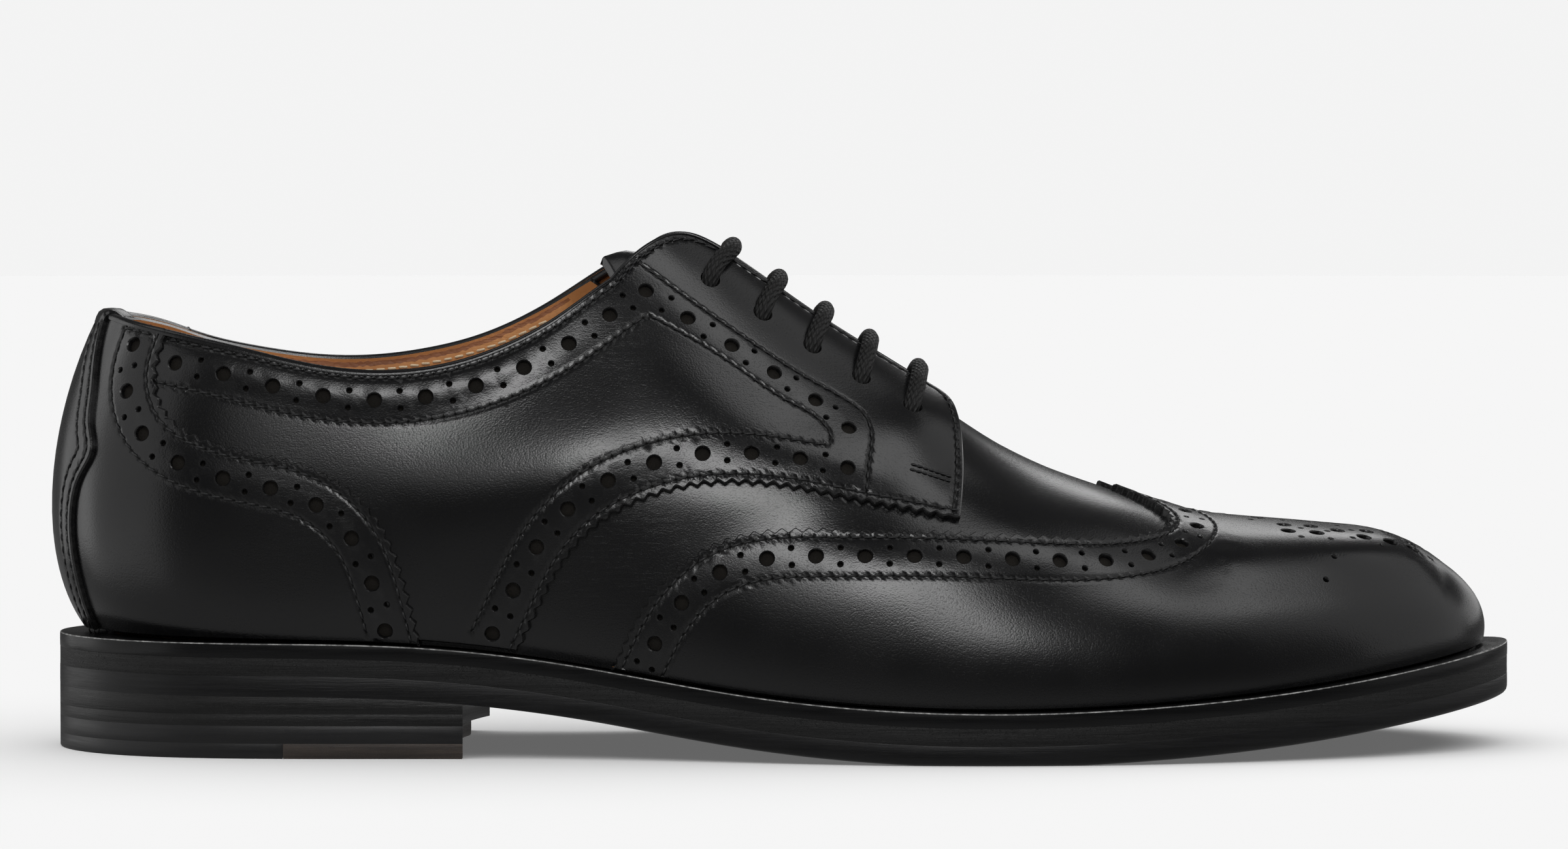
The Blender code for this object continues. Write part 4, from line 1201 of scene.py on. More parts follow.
def glint_wear_and_needle_shade_effect():
    """Lighter cut and rubbed edges, partly wear and partly a painted glint, and needle holes darkened as
    painted shade, from the panels' marks, the edges broken up by noise.
    """
    tree, given, out = effect("edge_glint_wear_and_needle_shade", [("Amount", 0.6)], ["Mask", "Needle"])
    wear_glint_shade_mark = tree.nodes.new("ShaderNodeAttribute")
    wear_glint_shade_mark.attribute_name = "wear_glint_and_shade_mark"
    space = leather_space(tree, 1.0)
    patch = ramp(tree, noise(tree, space, 0.7, 3.0, 0.6), 0.35, 0.7, 0.25, 1.0)
    # marked edges: rubbed wear and a painted glint
    edge_glint_and_wear = maths(tree, "MULTIPLY", maths(tree, "MAXIMUM", wear_glint_shade_mark.outputs["Fac"], 0.0), patch)
    plug(tree, out, "Mask", maths(tree, "MULTIPLY", edge_glint_and_wear, given["Amount"]))
    # needle holes picked out for painted shade
    needle = ramp(tree, maths(tree, "MULTIPLY", wear_glint_shade_mark.outputs["Fac"], -1.0), 0.04, 0.4)
    plug(tree, out, "Needle", needle)
    return tree


def fibre_effect():
    """Long level fibres of a trimmed and inked sole edge."""
    tree, given, out = effect("edge_fibre", [("Fineness", 1.0), ("Pits", 0.3)], ["Height", "Tone"])
    level = leather_space(tree, given["Fineness"], (0.09, 0.09, 2.4))
    fibre = noise(tree, level, 1.0, 5.0, 0.65, 0.4)
    grit_space = leather_space(tree, 1.0, (1.0, 1.0, 1.6))
    grit = noise(tree, grit_space, 3.4, 3.0, 0.7)
    pit = maths(tree, "MULTIPLY", ramp(tree, grit, 0.55, 0.72), given["Pits"])
    plug(tree, out, "Height", maths(tree, "SUBTRACT", fibre, pit))
    plug(tree, out, "Tone", noise(tree, level, 0.35, 3.0, 0.6))
    return tree


EFFECTS = {}


def use(tree, name, **values):
    """One of the shared effects placed in a finish with its own values."""
    made = tree.nodes.new("ShaderNodeGroup")
    made.node_tree = EFFECTS[name]
    for label, value in values.items():
        made.inputs[label].default_value = value
    return made.outputs


def finish(name, roughness, specular=0.5, coat=0.0, coat_roughness=0.2):
    """A new finish and its shader, with the values that are the same all over."""
    material = bpy.data.materials.new(name)
    material.use_nodes = True
    tree = material.node_tree
    shader = tree.nodes["Principled BSDF"]
    shader.inputs["Roughness"].default_value = roughness
    shader.inputs["Specular IOR Level"].default_value = specular
    shader.inputs["Coat Weight"].default_value = coat
    shader.inputs["Coat Roughness"].default_value = coat_roughness
    return material, tree, shader


def bump(tree, shader, height, distance, strength=1.0):
    """Relief of the given depth in millimetres."""
    made = node(tree, "ShaderNodeBump", Height=height, Strength=strength, Distance=distance * MM)
    plug(tree, shader, "Normal", made.outputs["Normal"])


def black_calf(name, cell=0.33, crease=0.3, depth=0.021):
    """Polished calf: fine grain; pale cut edges, partly raw-edge wear and partly a painted glint on the gimp
    teeth; needle holes darkened as painted shade.
    """
    material, tree, shader = finish(name, 0.32, specular=0.5, coat=0.1, coat_roughness=0.22)
    grain = use(tree, "calf_grain", Cell=cell, Crease=crease)
    edge = use(tree, "edge_glint_wear_and_needle_shade", Amount=0.8)
    tone = mixed(tree, grain["Tone"], (0.0016, 0.0016, 0.0019), (0.0028, 0.0028, 0.0031))
    tone = mixed(tree, maths(tree, "MULTIPLY", grain["Pore"], 0.5), tone, (0.0008, 0.0008, 0.0009))
    # cut edges lighter: partly raw-edge wear, partly a painted glint on the teeth
    tone = mixed(tree, edge["Mask"], tone, (0.014, 0.0138, 0.0138))
    # needle holes painted near-black: painted shade in the pits
    tone = mixed(tree, edge["Needle"], tone, (0.0004, 0.0004, 0.0004))
    plug(tree, shader, "Base Color", tone)
    rough = maths(tree, "MULTIPLY_ADD", grain["Pore"], 0.05, ramp(tree, grain["Tone"], 0.35, 0.65, 0.2, 0.25))
    rough = maths(tree, "MULTIPLY_ADD", edge["Needle"], 0.5, rough)
    plug(tree, shader, "Roughness", maths(tree, "MULTIPLY_ADD", edge["Mask"], 0.08, rough))
    plug(tree, shader, "Coat Weight", maths(tree, "MULTIPLY_ADD", edge["Needle"], -0.1, 0.1))
    bump(tree, shader, grain["Height"], depth)
    return material


def tan_lining(name, light, dark, depth=0.05):
    """Undyed lining leather, darker in its pores."""
    material, tree, shader = finish(name, 0.55, specular=0.4)
    grain = use(tree, "calf_grain", Cell=0.8, Crease=0.8)
    tone = mixed(tree, ramp(tree, grain["Tone"], 0.3, 0.7), dark, light)
    tone = mixed(tree, maths(tree, "MULTIPLY", grain["Pore"], 0.35), tone, dark)
    plug(tree, shader, "Base Color", tone)
    plug(tree, shader, "Roughness", ramp(tree, grain["Tone"], 0.3, 0.7, 0.48, 0.62))
    bump(tree, shader, grain["Height"], depth)
    return material


def backing_with_painted_shade():
    """The rough leather at the bottom of the punched holes, coloured near-black, darker than raw backing
    leather, as painted shade in the holes.
    """
    material, tree, shader = finish("backing_with_painted_shade", 0.8, specular=0.12)
    nap = noise(tree, leather_space(tree, 1.0), 3.2, 4.0, 0.7)
    # near-black nap: painted shade at the bottom of the holes
    tone = mixed(tree, nap, (0.003, 0.0027, 0.0024), (0.02, 0.0175, 0.0145))
    plug(tree, shader, "Base Color", tone)
    plug(tree, shader, "Roughness", ramp(tree, nap, 0.3, 0.7, 0.7, 0.9))
    bump(tree, shader, nap, 0.12)
    return material


def thread_finish(name, colour, roughness):
    """Waxed thread: fine ply lines and a little colour change from stitch to stitch."""
    material, tree, shader = finish(name, roughness, specular=0.5)
    space = leather_space(tree, 1.0)
    ply = noise(tree, space, 5.0, 2.0)
    dark = tuple(c * 0.55 for c in colour)
    plug(tree, shader, "Base Color", mixed(tree, ply, dark, colour))
    bump(tree, shader, ply, 0.05)
    return material


def lace_finish():
    """Round braid of waxed cotton: strands cross over and under along the cord's own coordinates; the
    strands' crowns are lighter and the hollows between them darker, as painted shade.
    """
    material, tree, shader = finish("waxed_braid", 0.5, specular=0.4)
    split = tree.nodes.new("ShaderNodeSeparateXYZ")
    tree.links.new(tree.nodes.new("ShaderNodeTexCoord").outputs["UV"], split.inputs[0])
    around = maths(tree, "MULTIPLY", split.outputs[0], 6.0)
    along = maths(tree, "DIVIDE", split.outputs[1], 1.7)
    first = maths(tree, "ADD", around, along)
    second = maths(tree, "SUBTRACT", around, along)
    over = maths(tree, "MODULO", maths(tree, "ADD", maths(tree, "FLOOR", first),
                                       maths(tree, "ADD", maths(tree, "FLOOR", second), 200.0)), 2.0)
    crown_a = maths(tree, "SINE", maths(tree, "MULTIPLY", maths(tree, "FRACT", first), np.pi))
    crown_b = maths(tree, "SINE", maths(tree, "MULTIPLY", maths(tree, "FRACT", second), np.pi))
    round_a = maths(tree, "MULTIPLY", crown_a, maths(tree, "MULTIPLY_ADD", crown_b, 0.4, 0.6))
    round_b = maths(tree, "MULTIPLY", crown_b, maths(tree, "MULTIPLY_ADD", crown_a, 0.4, 0.6))
    height = maths(tree, "ADD", maths(tree, "MULTIPLY", round_a, over),
                   maths(tree, "MULTIPLY", round_b, maths(tree, "SUBTRACT", 1.0, over)))
    hair = noise(tree, leather_space(tree, 1.0), 4.0, 3.0, 0.7)
    crown = ramp(tree, height, 0.1, 0.8)
    # crowns light, hollows near-black: painted shade in the braid
    tone = mixed(tree, crown, (0.001, 0.001, 0.001), (0.0065, 0.0064, 0.0064))
    tone = mixed(tree, maths(tree, "MULTIPLY", hair, 0.25), tone, (0.012, 0.0115, 0.011))
    plug(tree, shader, "Base Color", tone)
    plug(tree, shader, "Roughness", ramp(tree, hair, 0.3, 0.7, 0.45, 0.7))
    bump(tree, shader, maths(tree, "MULTIPLY_ADD", hair, 0.15, height), 0.3)
    return material


def sole_finish(name, dark, light, roughness, fineness, pits, depth, shine, corner_wear_and_glint_colour, corner_wear_and_glint_amount):
    """Inked sole edge: level fibres, small pits and lighter marked corners: rubbed wear, and on the welt a
    painted glint along its top edge.
    """
    material, tree, shader = finish(name, roughness, specular=shine)
    fibre = use(tree, "edge_fibre", Fineness=fineness, Pits=pits)
    corner_wear_and_glint = use(tree, "edge_glint_wear_and_needle_shade", Amount=corner_wear_and_glint_amount)["Mask"]
    tone = mixed(tree, ramp(tree, fibre["Tone"], 0.3, 0.7), dark, light)
    # marked corners lighter: rubbed wear on most sole edges, a painted glint along the welt's top
    plug(tree, shader, "Base Color", mixed(tree, corner_wear_and_glint, tone, corner_wear_and_glint_colour))
    rough = ramp(tree, fibre["Height"], 0.25, 0.75, roughness - 0.08, roughness + 0.08)
    plug(tree, shader, "Roughness", rough)
    bump(tree, shader, fibre["Height"], depth)
    return material


def make_finishes():
    EFFECTS["calf_grain"] = calf_grain_effect()
    EFFECTS["edge_glint_wear_and_needle_shade"] = glint_wear_and_needle_shade_effect()
    EFFECTS["edge_fibre"] = fibre_effect()
    tan = (0.62, 0.30, 0.115)
    brown = (0.42, 0.185, 0.065)
    finishes = {
        "calf": black_calf("black_calf"),
        "cap_calf": black_calf("cap_calf", crease=0.12),
        "lining": tan_lining("tan_lining", tan, brown),
        "sock": tan_lining("sock_leather", (0.43, 0.23, 0.105), (0.29, 0.14, 0.06), 0.04),
        "backing_painted_shade": backing_with_painted_shade(),
        "thread": thread_finish("black_thread", (0.007, 0.007, 0.0076), 0.45),
        "pale_thread": thread_finish("pale_thread", (0.80, 0.66, 0.45), 0.55),
        "raw_edge": tan_lining("raw_edge", (0.34, 0.14, 0.06), (0.17, 0.065, 0.03), 0.12),
        "lace": lace_finish(),
    }
    for key, name, *values in SOLE_EDGES:
        # the welt's top edge gets a painted glint, the other sole edges rubbed corners
        finishes[key] = sole_finish(name, *values, *(WELT_PAINTED_GLINT if key == "welt" else EDGE_RUB))
    finishes["panel"] = [finishes[key] for key in ("calf", "lining", "backing_painted_shade")]
    finishes["cap"] = [finishes[key] for key in ("cap_calf", "lining", "backing_painted_shade")]
    return finishes


# Pieces

def make_upper(finishes):
    """The vamp with its lining: one shell, open at the collar and along the throat."""
    def half(side):
        collar = topline(side, -137.0, -41.0)
        slot = pattern_line(side, [(-35.5, SLOT_EDGE), (SLOT_END[0][0], SLOT_EDGE)])
        return np.concatenate([collar, slot, pattern_line(side, SLOT_END)])

    lateral = half(LATERAL)
    medial = half(MEDIAL)[::-1]
    opening = np.concatenate([[(0.0, TOPLINE[0][1])], lateral, medial])
    place = flat_pattern(opening)
    keep = np.linalg.norm(place - np.roll(place, 1, axis=0), axis=1) > 0.15
    opening = spread(opening[keep], 1.2)
    foot = foot_line(0.0, ROUND)
    loop = outline((foot, False))
    if not turns_left(flat_pattern(opening)):
        opening = opening[::-1]
    piece = calf_panel("upper_shell", loop, swell, even(-WALL), finishes["panel"], opening=opening)
    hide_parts("upper")


def spread(loop, gap):
    """The points of a loop at least a gap apart."""
    kept = [loop[0]]
    for point in loop[1:]:
        if np.linalg.norm(last_point(*point) - last_point(*kept[-1])) > gap:
            kept.append(point)
    return np.array(kept)


def toe_point(side, x, off):
    """The point of the last at x, a distance off the ridge in plan."""
    goal = np.array([x, ridge_y(x) + (-off if side == LATERAL else off)])
    back = -150.0 if side == LATERAL else 0.0
    ways = TOE_WAY + np.linspace(back, back + 150.0, 160)
    way, share = np.meshgrid(ways, np.linspace(0.3, 0.995, 120), indexing="ij")
    away = np.linalg.norm(last_point(way, share)[..., :2] - goal, axis=-1)
    pick = np.unravel_index(np.argmin(away), away.shape)
    return way[pick], share[pick]


def make_wing_cap(finishes):
    """The winged toe cap with its brogued band and the medallion."""
    edges = {side: pattern_line(side, WING_EDGE) for side in SIDES}
    foot = foot_line(edges[MEDIAL][0][0], edges[LATERAL][0][0])
    loop = outline((edges[LATERAL], True), (edges[MEDIAL][::-1], True), (foot, False))
    bigs = []
    smalls = []
    rows = []
    for side in SIDES:
        edge = edges[side]
        row_bigs, row_smalls = hole_row(beside(side, edge, WING_ROWS[0]), 6.6, 2.0)
        bigs.append(row_bigs)
        smalls.append(row_smalls)
        rows += [beside(side, edge, EDGE_STITCH), beside(side, edge, WING_ROWS[1])]
        bigs.append([toe_point(side, x, off) for x, off in MEDALLION_BIG if off or side == LATERAL])
        smalls.append([toe_point(side, x, off) for x, off in MEDALLION_SMALL if off or side == LATERAL])
    rows = [line[line[:, 1] < 0.95] for line in rows]
    for line in rows:
        sew("wing_stitches", line, wing_top)
    piece = calf_panel("wing_cap_calf", loop, wing_top, even(PANEL_BOTTOM), finishes["cap"],
                       bigs=np.concatenate(bigs), smalls=np.concatenate(smalls), rows=rows)
    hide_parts("wing_cap")


def quarter_holes(side, low, shown_collar):
    """Big and small holes of a quarter, along its collar, its foot and its facing."""
    collar_line = beside(side, shown_collar, COLLAR_ROWS[0])
    collar_line = collar_line[x_of(collar_line) < CORNER_HOLE[0] - 4.0]
    collar_bigs, collar_smalls = hole_row(collar_line, 3.4, 0.0, COLLAR_HOLE_PITCH)
    foot_bigs, foot_smalls = hole_row(beside(side, low, FOOT_ROWS[0])[55:], 2.0, 2.0)
    facing_line = pattern_line(side, [CORNER_HOLE] + FACING_HOLES)
    facing_bigs = pattern_points(side, [CORNER_HOLE] + FACING_HOLES)
    facing_run = line_run(facing_line)[-1]
    facing_smalls = small_pairs(spaced(facing_line, facing_run / 5.001, start=facing_run / 10.0))
    collar_bigs = clear_of(collar_bigs, facing_bigs, BIG_CLEAR)
    collar_smalls = clear_of(collar_smalls, np.concatenate([facing_bigs, facing_smalls]), SMALL_CLEAR)
    corner_pair = small_pairs(np.linspace(collar_bigs[-1], facing_bigs[0], 3))[[1, 4]]
    collar_smalls = np.concatenate([clear_of(collar_smalls, corner_pair, SMALL_CLEAR), corner_pair])
    bigs = np.concatenate([collar_bigs, foot_bigs, facing_bigs])
    return bigs, np.concatenate([collar_smalls, foot_smalls, facing_smalls])


def make_quarter(side, finishes):
    """A side panel with its facing: broguing and stitch rows, eyelets and a bar tack."""
    front = pattern_line(side, FACING_FRONT)
    low = pattern_line(side, QUARTER_FOOT)
    under_counter = pattern_line(side, [(x - 5.0, share) for x, share in COUNTER_EDGE[::-1]])
    collar = topline(side, -131.0, -36.0)
    corner = pattern_line(side, [(-36.0, collar[-1][1])] + INSTEP_CORNER)
    throat = pattern_line(side, [(INSTEP_CORNER[-1][0], THROAT_EDGE), (FACING_FRONT[0][0], THROAT_EDGE)])
    foot = foot_line(low[-1][0], under_counter[0][0])
    rise = np.linspace(under_counter[-1], collar[0], 6)
    loop = outline((low, True), (foot, False), (under_counter, False), (rise, False), (collar, False),
                   (corner, False), (throat, False), (front, False))
    shown_collar = topline(side, -125.5, -36.0)
    facing = np.concatenate([corner[:-1], throat[:-1], front])
    bigs, smalls = quarter_holes(side, low, shown_collar)
    inner_stitch = pattern_line(side, FACING_INNER_STITCH)
    collar_low = beside(side, shown_collar, COLLAR_ROWS[1])
    collar_low = collar_low[x_of(collar_low) < FACING_INNER_STITCH[0][0] - 1.5]
    foot_high = beside(side, low, FOOT_ROWS[1])
    rows = [
        beside(side, np.concatenate([shown_collar, corner[1:]]), COLLAR_STITCH),
        np.concatenate([collar_low, inner_stitch[:1]]),
        pattern_line(side, FACING_OUTER_STITCH),
        inner_stitch,
        beside(side, facing, EDGE_STITCH),
        beside(side, low, EDGE_STITCH),
        foot_high[x_of(foot_high) < FACING_INNER_STITCH[-1][0]],
    ]
    group = "quarter_stitches_" + side
    for line in rows:
        sew(group, line, quarter_top)
    tack = pattern_line(side, BAR_TACK)
    turn = -1.0 if side == LATERAL else 1.0
    for shift in (-0.5, 0.5):
        line = moved(tack, leftward(tack) * (turn * shift * BAR_TACK_GAP))
        sew(group, line, quarter_top, pitch=1.25, length=1.3, rise=0.14, width=1.1, dive=0.2)
    piece = calf_panel("quarter_calf_" + side, loop, quarter_top, quarter_bottom, finishes["panel"],
                       bigs=bigs, smalls=smalls, eyelets=pattern_points(side, EYELETS), rows=rows)
    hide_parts("quarter_" + side)


def make_counter(side, finishes):
    """The heel panel of one side."""
    edge = pattern_line(side, COUNTER_EDGE)
    seam = 0.3 if side == LATERAL else ROUND - 0.3
    foot = foot_line(edge[-1][0], seam)
    back = np.stack([np.full(60, seam), np.linspace(0.0, TOPLINE[0][1], 60)], axis=1)
    collar = topline(side, -138.0, COUNTER_EDGE[0][0])
    loop = outline((edge, True), (foot, False), (back, False), (collar, False))
    bigs, smalls = hole_row(beside(side, edge, COUNTER_ROWS[0]), 4.6, 1.5)
    rows = [beside(side, edge, EDGE_STITCH), beside(side, edge, COUNTER_ROWS[1])]
    rows.append(beside(side, topline(side, -134.0, -127.5), COLLAR_STITCH))
    for line in rows:
        sew("counter_stitches", line, counter_top)
    piece = calf_panel("counter_calf_" + side, loop, counter_top, even(PANEL_BOTTOM), finishes["panel"],
                       bigs=bigs, smalls=smalls, rows=rows)
    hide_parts("counter_" + side)


def make_back_strip(finishes):
    """The strip over the back seam, with two stitch rows along each edge."""
    shares = np.linspace(0.0, STRIP_HALF[-1][0], 170)
    half = strip_half(shares)
    across = np.linspace(half[-1], -half[-1], 80)
    arch = STRIP_HALF[-1][0] + STRIP_ARCH * (1.0 - (across / half[-1]) ** 2)
    lateral = np.stack([half, shares], axis=1)
    medial = np.stack([-half, shares], axis=1)
    top_edge = np.stack([across, arch], axis=1)
    foot = np.stack([np.linspace(-half[0], half[0], 40), np.zeros(40)], axis=1)
    loop = outline((lateral, False), (top_edge, False), (medial[::-1], False), (foot, False))
    top = even(STRIP_TOP)
    rows = []
    for line, turn in ((lateral, 1.0), (medial, -1.0)):
        for gap in (1.5, 4.2):
            row = moved(line[4:-2], leftward(line[4:-2]) * (turn * gap))
            rows.append(row)
            sew("back_stitches", row, top, width=0.8)
    piece = calf_panel("back_strip_calf", loop, top, even(STRIP_BOTTOM), finishes["panel"], rows=rows)
    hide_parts("back_strip")


def make_back_tab(finishes):
    """The top of the back strip, folded over the collar and down inside."""
    half = STRIP_HALF[-1][1] + 0.7
    across = np.linspace(-half, half, 33)
    line = np.stack([across, np.full(33, STRIP_HALF[-1][0] + 0.004)], axis=1)
    profile = np.array([
        # over  below
        (0.05,  2.6),
        (0.22,  1.5),
        (0.20,  0.4),
        (-0.35, -0.55),
        (-1.50, -1.05),
        (-3.00, -1.05),
        (-4.60, -0.75),
        (-5.75, 0.2),
        (-6.00, 2.2),
        (-5.70, 4.0),
        (-5.20, 4.0),
        (-1.00, 2.8),
    ])
    soft = np.sqrt(np.clip(1.0 - (np.abs(across) / half) ** 6, 0.0, 1.0))
    below = profile[None, :, 1] + (1.0 - soft[:, None]) * 0.8
    height = STRIP_TOP + profile[None, :, 0] - (1.0 - soft[:, None]) * 0.5
    piece = folded_strip("back_tab", line, height, below, [finishes["calf"]])


def make_tongue(finishes):
    def half(side):
        front = pattern_line(side, TONGUE_FRONT)
        edge = pattern_line(side, [(TONGUE_FRONT[-1][0], TONGUE_EDGE), (-25.0, TONGUE_EDGE)])
        return np.concatenate([front, edge[1:], pattern_line(side, TONGUE_TOP_EDGE)[1:]])

    loop = outline((half(LATERAL), False), (half(MEDIAL)[::-1], False))
    piece = calf_panel("tongue_calf", loop, tongue_top, tongue_bottom, finishes["panel"])
    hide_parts("tongue")


def make_collar_roll(finishes):
    """The folded edge of the collar, over the tops of quarter, counter and lining."""
    def half(side):
        collar = topline(side, -138.5, -36.0)
        corner = pattern_line(side, [(-36.0, collar[-1][1])] + INSTEP_CORNER)
        line = spaced(np.concatenate([collar, corner[1:]]), 1.0)
        if side == MEDIAL:
            line[:, 0] -= ROUND
        return line

    line = np.concatenate([half(MEDIAL)[::-1], half(LATERAL)])
    profile = np.array([
        # over  below
        (0.22,  1.45),
        (0.30,  1.05),
        (0.24,  0.55),
        (-0.05, 0.16),
        (-0.60, -0.10),
        (-1.20, -0.12),
        (-1.85, 0.05),
        (-2.50, 0.4),
        (-2.85, 0.9),
        (-3.00, 1.6),
        (-2.90, 1.95),
        (-2.60, 1.90),
        (-0.60, 1.5),
    ])
    x = x_of(line)
    outer = quarter_top(line)
    heel = smoothstep(-117.0, -131.0, x)
    outer = outer + heel * (COUNTER_TOP - PANEL_TOP)
    slim = 1.0 - 0.5 * smoothstep(-34.0, -20.0, x)
    height = outer[:, None] + profile[None, :, 0] * slim[:, None]
    below = profile[None, :, 1] * slim[:, None]
    piece = folded_strip("collar_roll", line, height, below, [finishes["calf"]])


def make_lining_band(finishes):
    """The raw upper edge of the lining, a thin layer that ends a little under the collar's roll."""
    for side in SIDES:
        line = spaced(topline(side, -136.0, -42.0), 0.8)
        rough = np.random.default_rng(5 if side == LATERAL else 6).normal(0.0, 0.13, len(line))
        inside_face = -WALL - LINING_BAND
        profile = np.array([
            # height              below
            (-1.5,                10.4),
            (-1.5,                0.9),
            (-1.75,               0.65),
            (inside_face + 0.25,  0.65),
            (inside_face + 0.12,  1.4),
            (inside_face,         1.6),
            (inside_face,         8.8),
            (-WALL + 0.1,         10.4),
        ])
        below = profile[None, :, 1] + np.where(profile[None, :, 1] < 2.0, rough[:, None], 0.0)
        run = line_run(line)
        thick = smoothstep(0.0, 9.0, run[-1] - run)[:, None]
        height = -1.6 + (profile[None, :, 0] + 1.6) * thick
        raw = np.zeros((len(line) - 1, len(profile)), int)
        raw[:, 1:5] = 1
        leathers = [finishes["lining"], finishes["raw_edge"]]
        piece = folded_strip("lining_band_" + side, line, height, below, leathers,
                             raw.ravel().tolist() + [0, 0], sharp=50.0, turned=side == MEDIAL)


def make_lining_stitches(finishes):
    """The pale row that holds the lining under the collar, seen inside."""
    for side in SIDES:
        line = beside(side, topline(side, -130.0, -50.0), 2.5)
        sew("lining_stitches", line, even(-WALL - LINING_BAND - 0.12), width=1.3, dive=-0.25)
    piece = join_threads("lining_stitches", finishes["pale_thread"])


def lace_path(x, share, lean):
    """The middle of the lace from eyelet to eyelet: up out of one facing, over the throat, into the other."""
    rises = np.array([-0.010, 0.004, 0.035, 0.075, 0.115, THROAT_EDGE - share, 0.985 - share])
    over = np.array([-2.4, -0.2, 1.15, LACE_RADIUS, LACE_RADIUS - 0.1, LACE_RADIUS - 0.3, LACE_RADIUS - 2.2])
    halves = []
    for side in SIDES:
        shares = share + rises
        xs = x + lean * smoothstep(0.0, THROAT_EDGE - share, rises)
        points = pattern_points(side, np.stack([xs, shares], axis=1))
        halves.append(on_leather(points, quarter_top(points) - swell(points) + over))
    return np.concatenate([halves[0], halves[1][::-1]])


def make_laces(finishes):
    """The five bars of the lace, their ends down through the eyelets."""
    sides = 20
    turn = np.linspace(0.0, 2.0 * np.pi, sides, endpoint=False)
    for number, (x, share) in enumerate(EYELETS, start=1):
        marks = lace_path(x, share, LACE_LEAN[number - 1])
        run = np.concatenate([[0.0], np.cumsum(np.linalg.norm(np.diff(marks, axis=0), axis=1))])
        at = np.linspace(0.0, run[-1], int(run[-1] / 0.5))
        path = np.stack([open_spline(run, marks[:, k])(at) for k in range(3)], axis=1)
        ahead = unit(np.gradient(path, axis=0))
        toeward = np.array([1.0, 0.0, 0.0])
        first = unit(toeward - ahead * (ahead @ toeward)[:, None])
        second = np.cross(ahead, first)
        vertices = (path[:, None] + LACE_RADIUS * rings_about(first, second, sides)).reshape(-1, 3)
        around = 1.0 - np.abs(turn / np.pi - 1.0)
        uv = np.stack(np.broadcast_arrays(around[None, :], at[:, None]), axis=-1).reshape(-1, 2)
        faces = sweep(len(path), sides)
        piece = make_piece("lace_%d" % number, vertices, faces, [finishes["lace"]], uv=uv, sharp=70.0)
        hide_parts("lace_bar_%d" % number)


def sole_outline(ways, margin):
    """The feather line in plan moved out by the margin."""
    run = unit(np.stack([curve(ways + 0.05) - curve(ways - 0.05) for curve in (foot_x, foot_y)], axis=1))
    out = np.stack([run[:, 1], -run[:, 0]], axis=1)
    return np.stack([foot_x(ways), foot_y(ways)], axis=1) + out * np.asarray(margin)[..., None]


def plan_points(loop, step):
    """A grid of plan points inside a loop, clear of its edge."""
    xs, ys = np.meshgrid(np.arange(-150.0, 152.0, step), np.arange(-54.0, 56.0, step), indexing="ij")
    grid = np.stack([xs.ravel(), ys.ravel()], axis=1)
    grid = grid[inside(grid, loop)]
    return grid[far_from(grid, loop, step * 0.55)]


def sole_layer(name, rings, cap_top, cap_bottom, finish_made, marks=None, hollow=None, step=5.0):
    """A layer from rings down its side; caps follow the given heights, or a hollow ring closes it inside."""
    count = len(rings[0])
    vertices = list(np.concatenate(rings))
    numbers = np.arange(len(rings) * count).reshape(len(rings), count)
    faces = []
    for upper, lower in zip(numbers[:-1], numbers[1:]):
        faces += strip_faces(upper, lower)[:, ::-1].tolist()
    if hollow is not None:
        inner = np.arange(2 * count).reshape(2, count) + len(vertices)
        vertices += list(np.concatenate(hollow))
        faces += strip_faces(inner[0], numbers[0])[:, ::-1].tolist()
        faces += strip_faces(inner[1], inner[0])[:, ::-1].tolist()
        faces += strip_faces(numbers[-1], inner[1])[:, ::-1].tolist()
    else:
        for ring, height, down in ((numbers[0], cap_top, False), (numbers[-1], cap_bottom, True)):
            rim = np.array([vertices[i] for i in ring])[:, :2]
            grid = plan_points(rim, step)
            flat = np.concatenate([rim, grid])
            triangles = triangulate(flat, [np.arange(len(rim))])
            start = len(vertices)
            vertices += list(np.column_stack([grid, height(grid)]))
            number = np.concatenate([ring, np.arange(len(grid)) + start])
            triangles = number[triangles]
            faces += (triangles[:, ::-1] if down else triangles).tolist()
    wear_glint_shade_mark = np.zeros(len(vertices))
    if marks is not None:
        wear_glint_shade_mark[:numbers.size] = np.repeat(marks, count)
    return make_piece(name, np.array(vertices), faces, [finish_made], edge=wear_glint_shade_mark, sharp=50.0)


def under_seat(depth):
    return lambda points: seat_z(points[:, 0]) - depth


def outsole_floor(points):
    """Underside of the outsole: arch, toe spring and a flat tread at the ball."""
    return np.maximum(seat_z(points[:, 0]) - OUTSOLE_BOTTOM, 0.0)


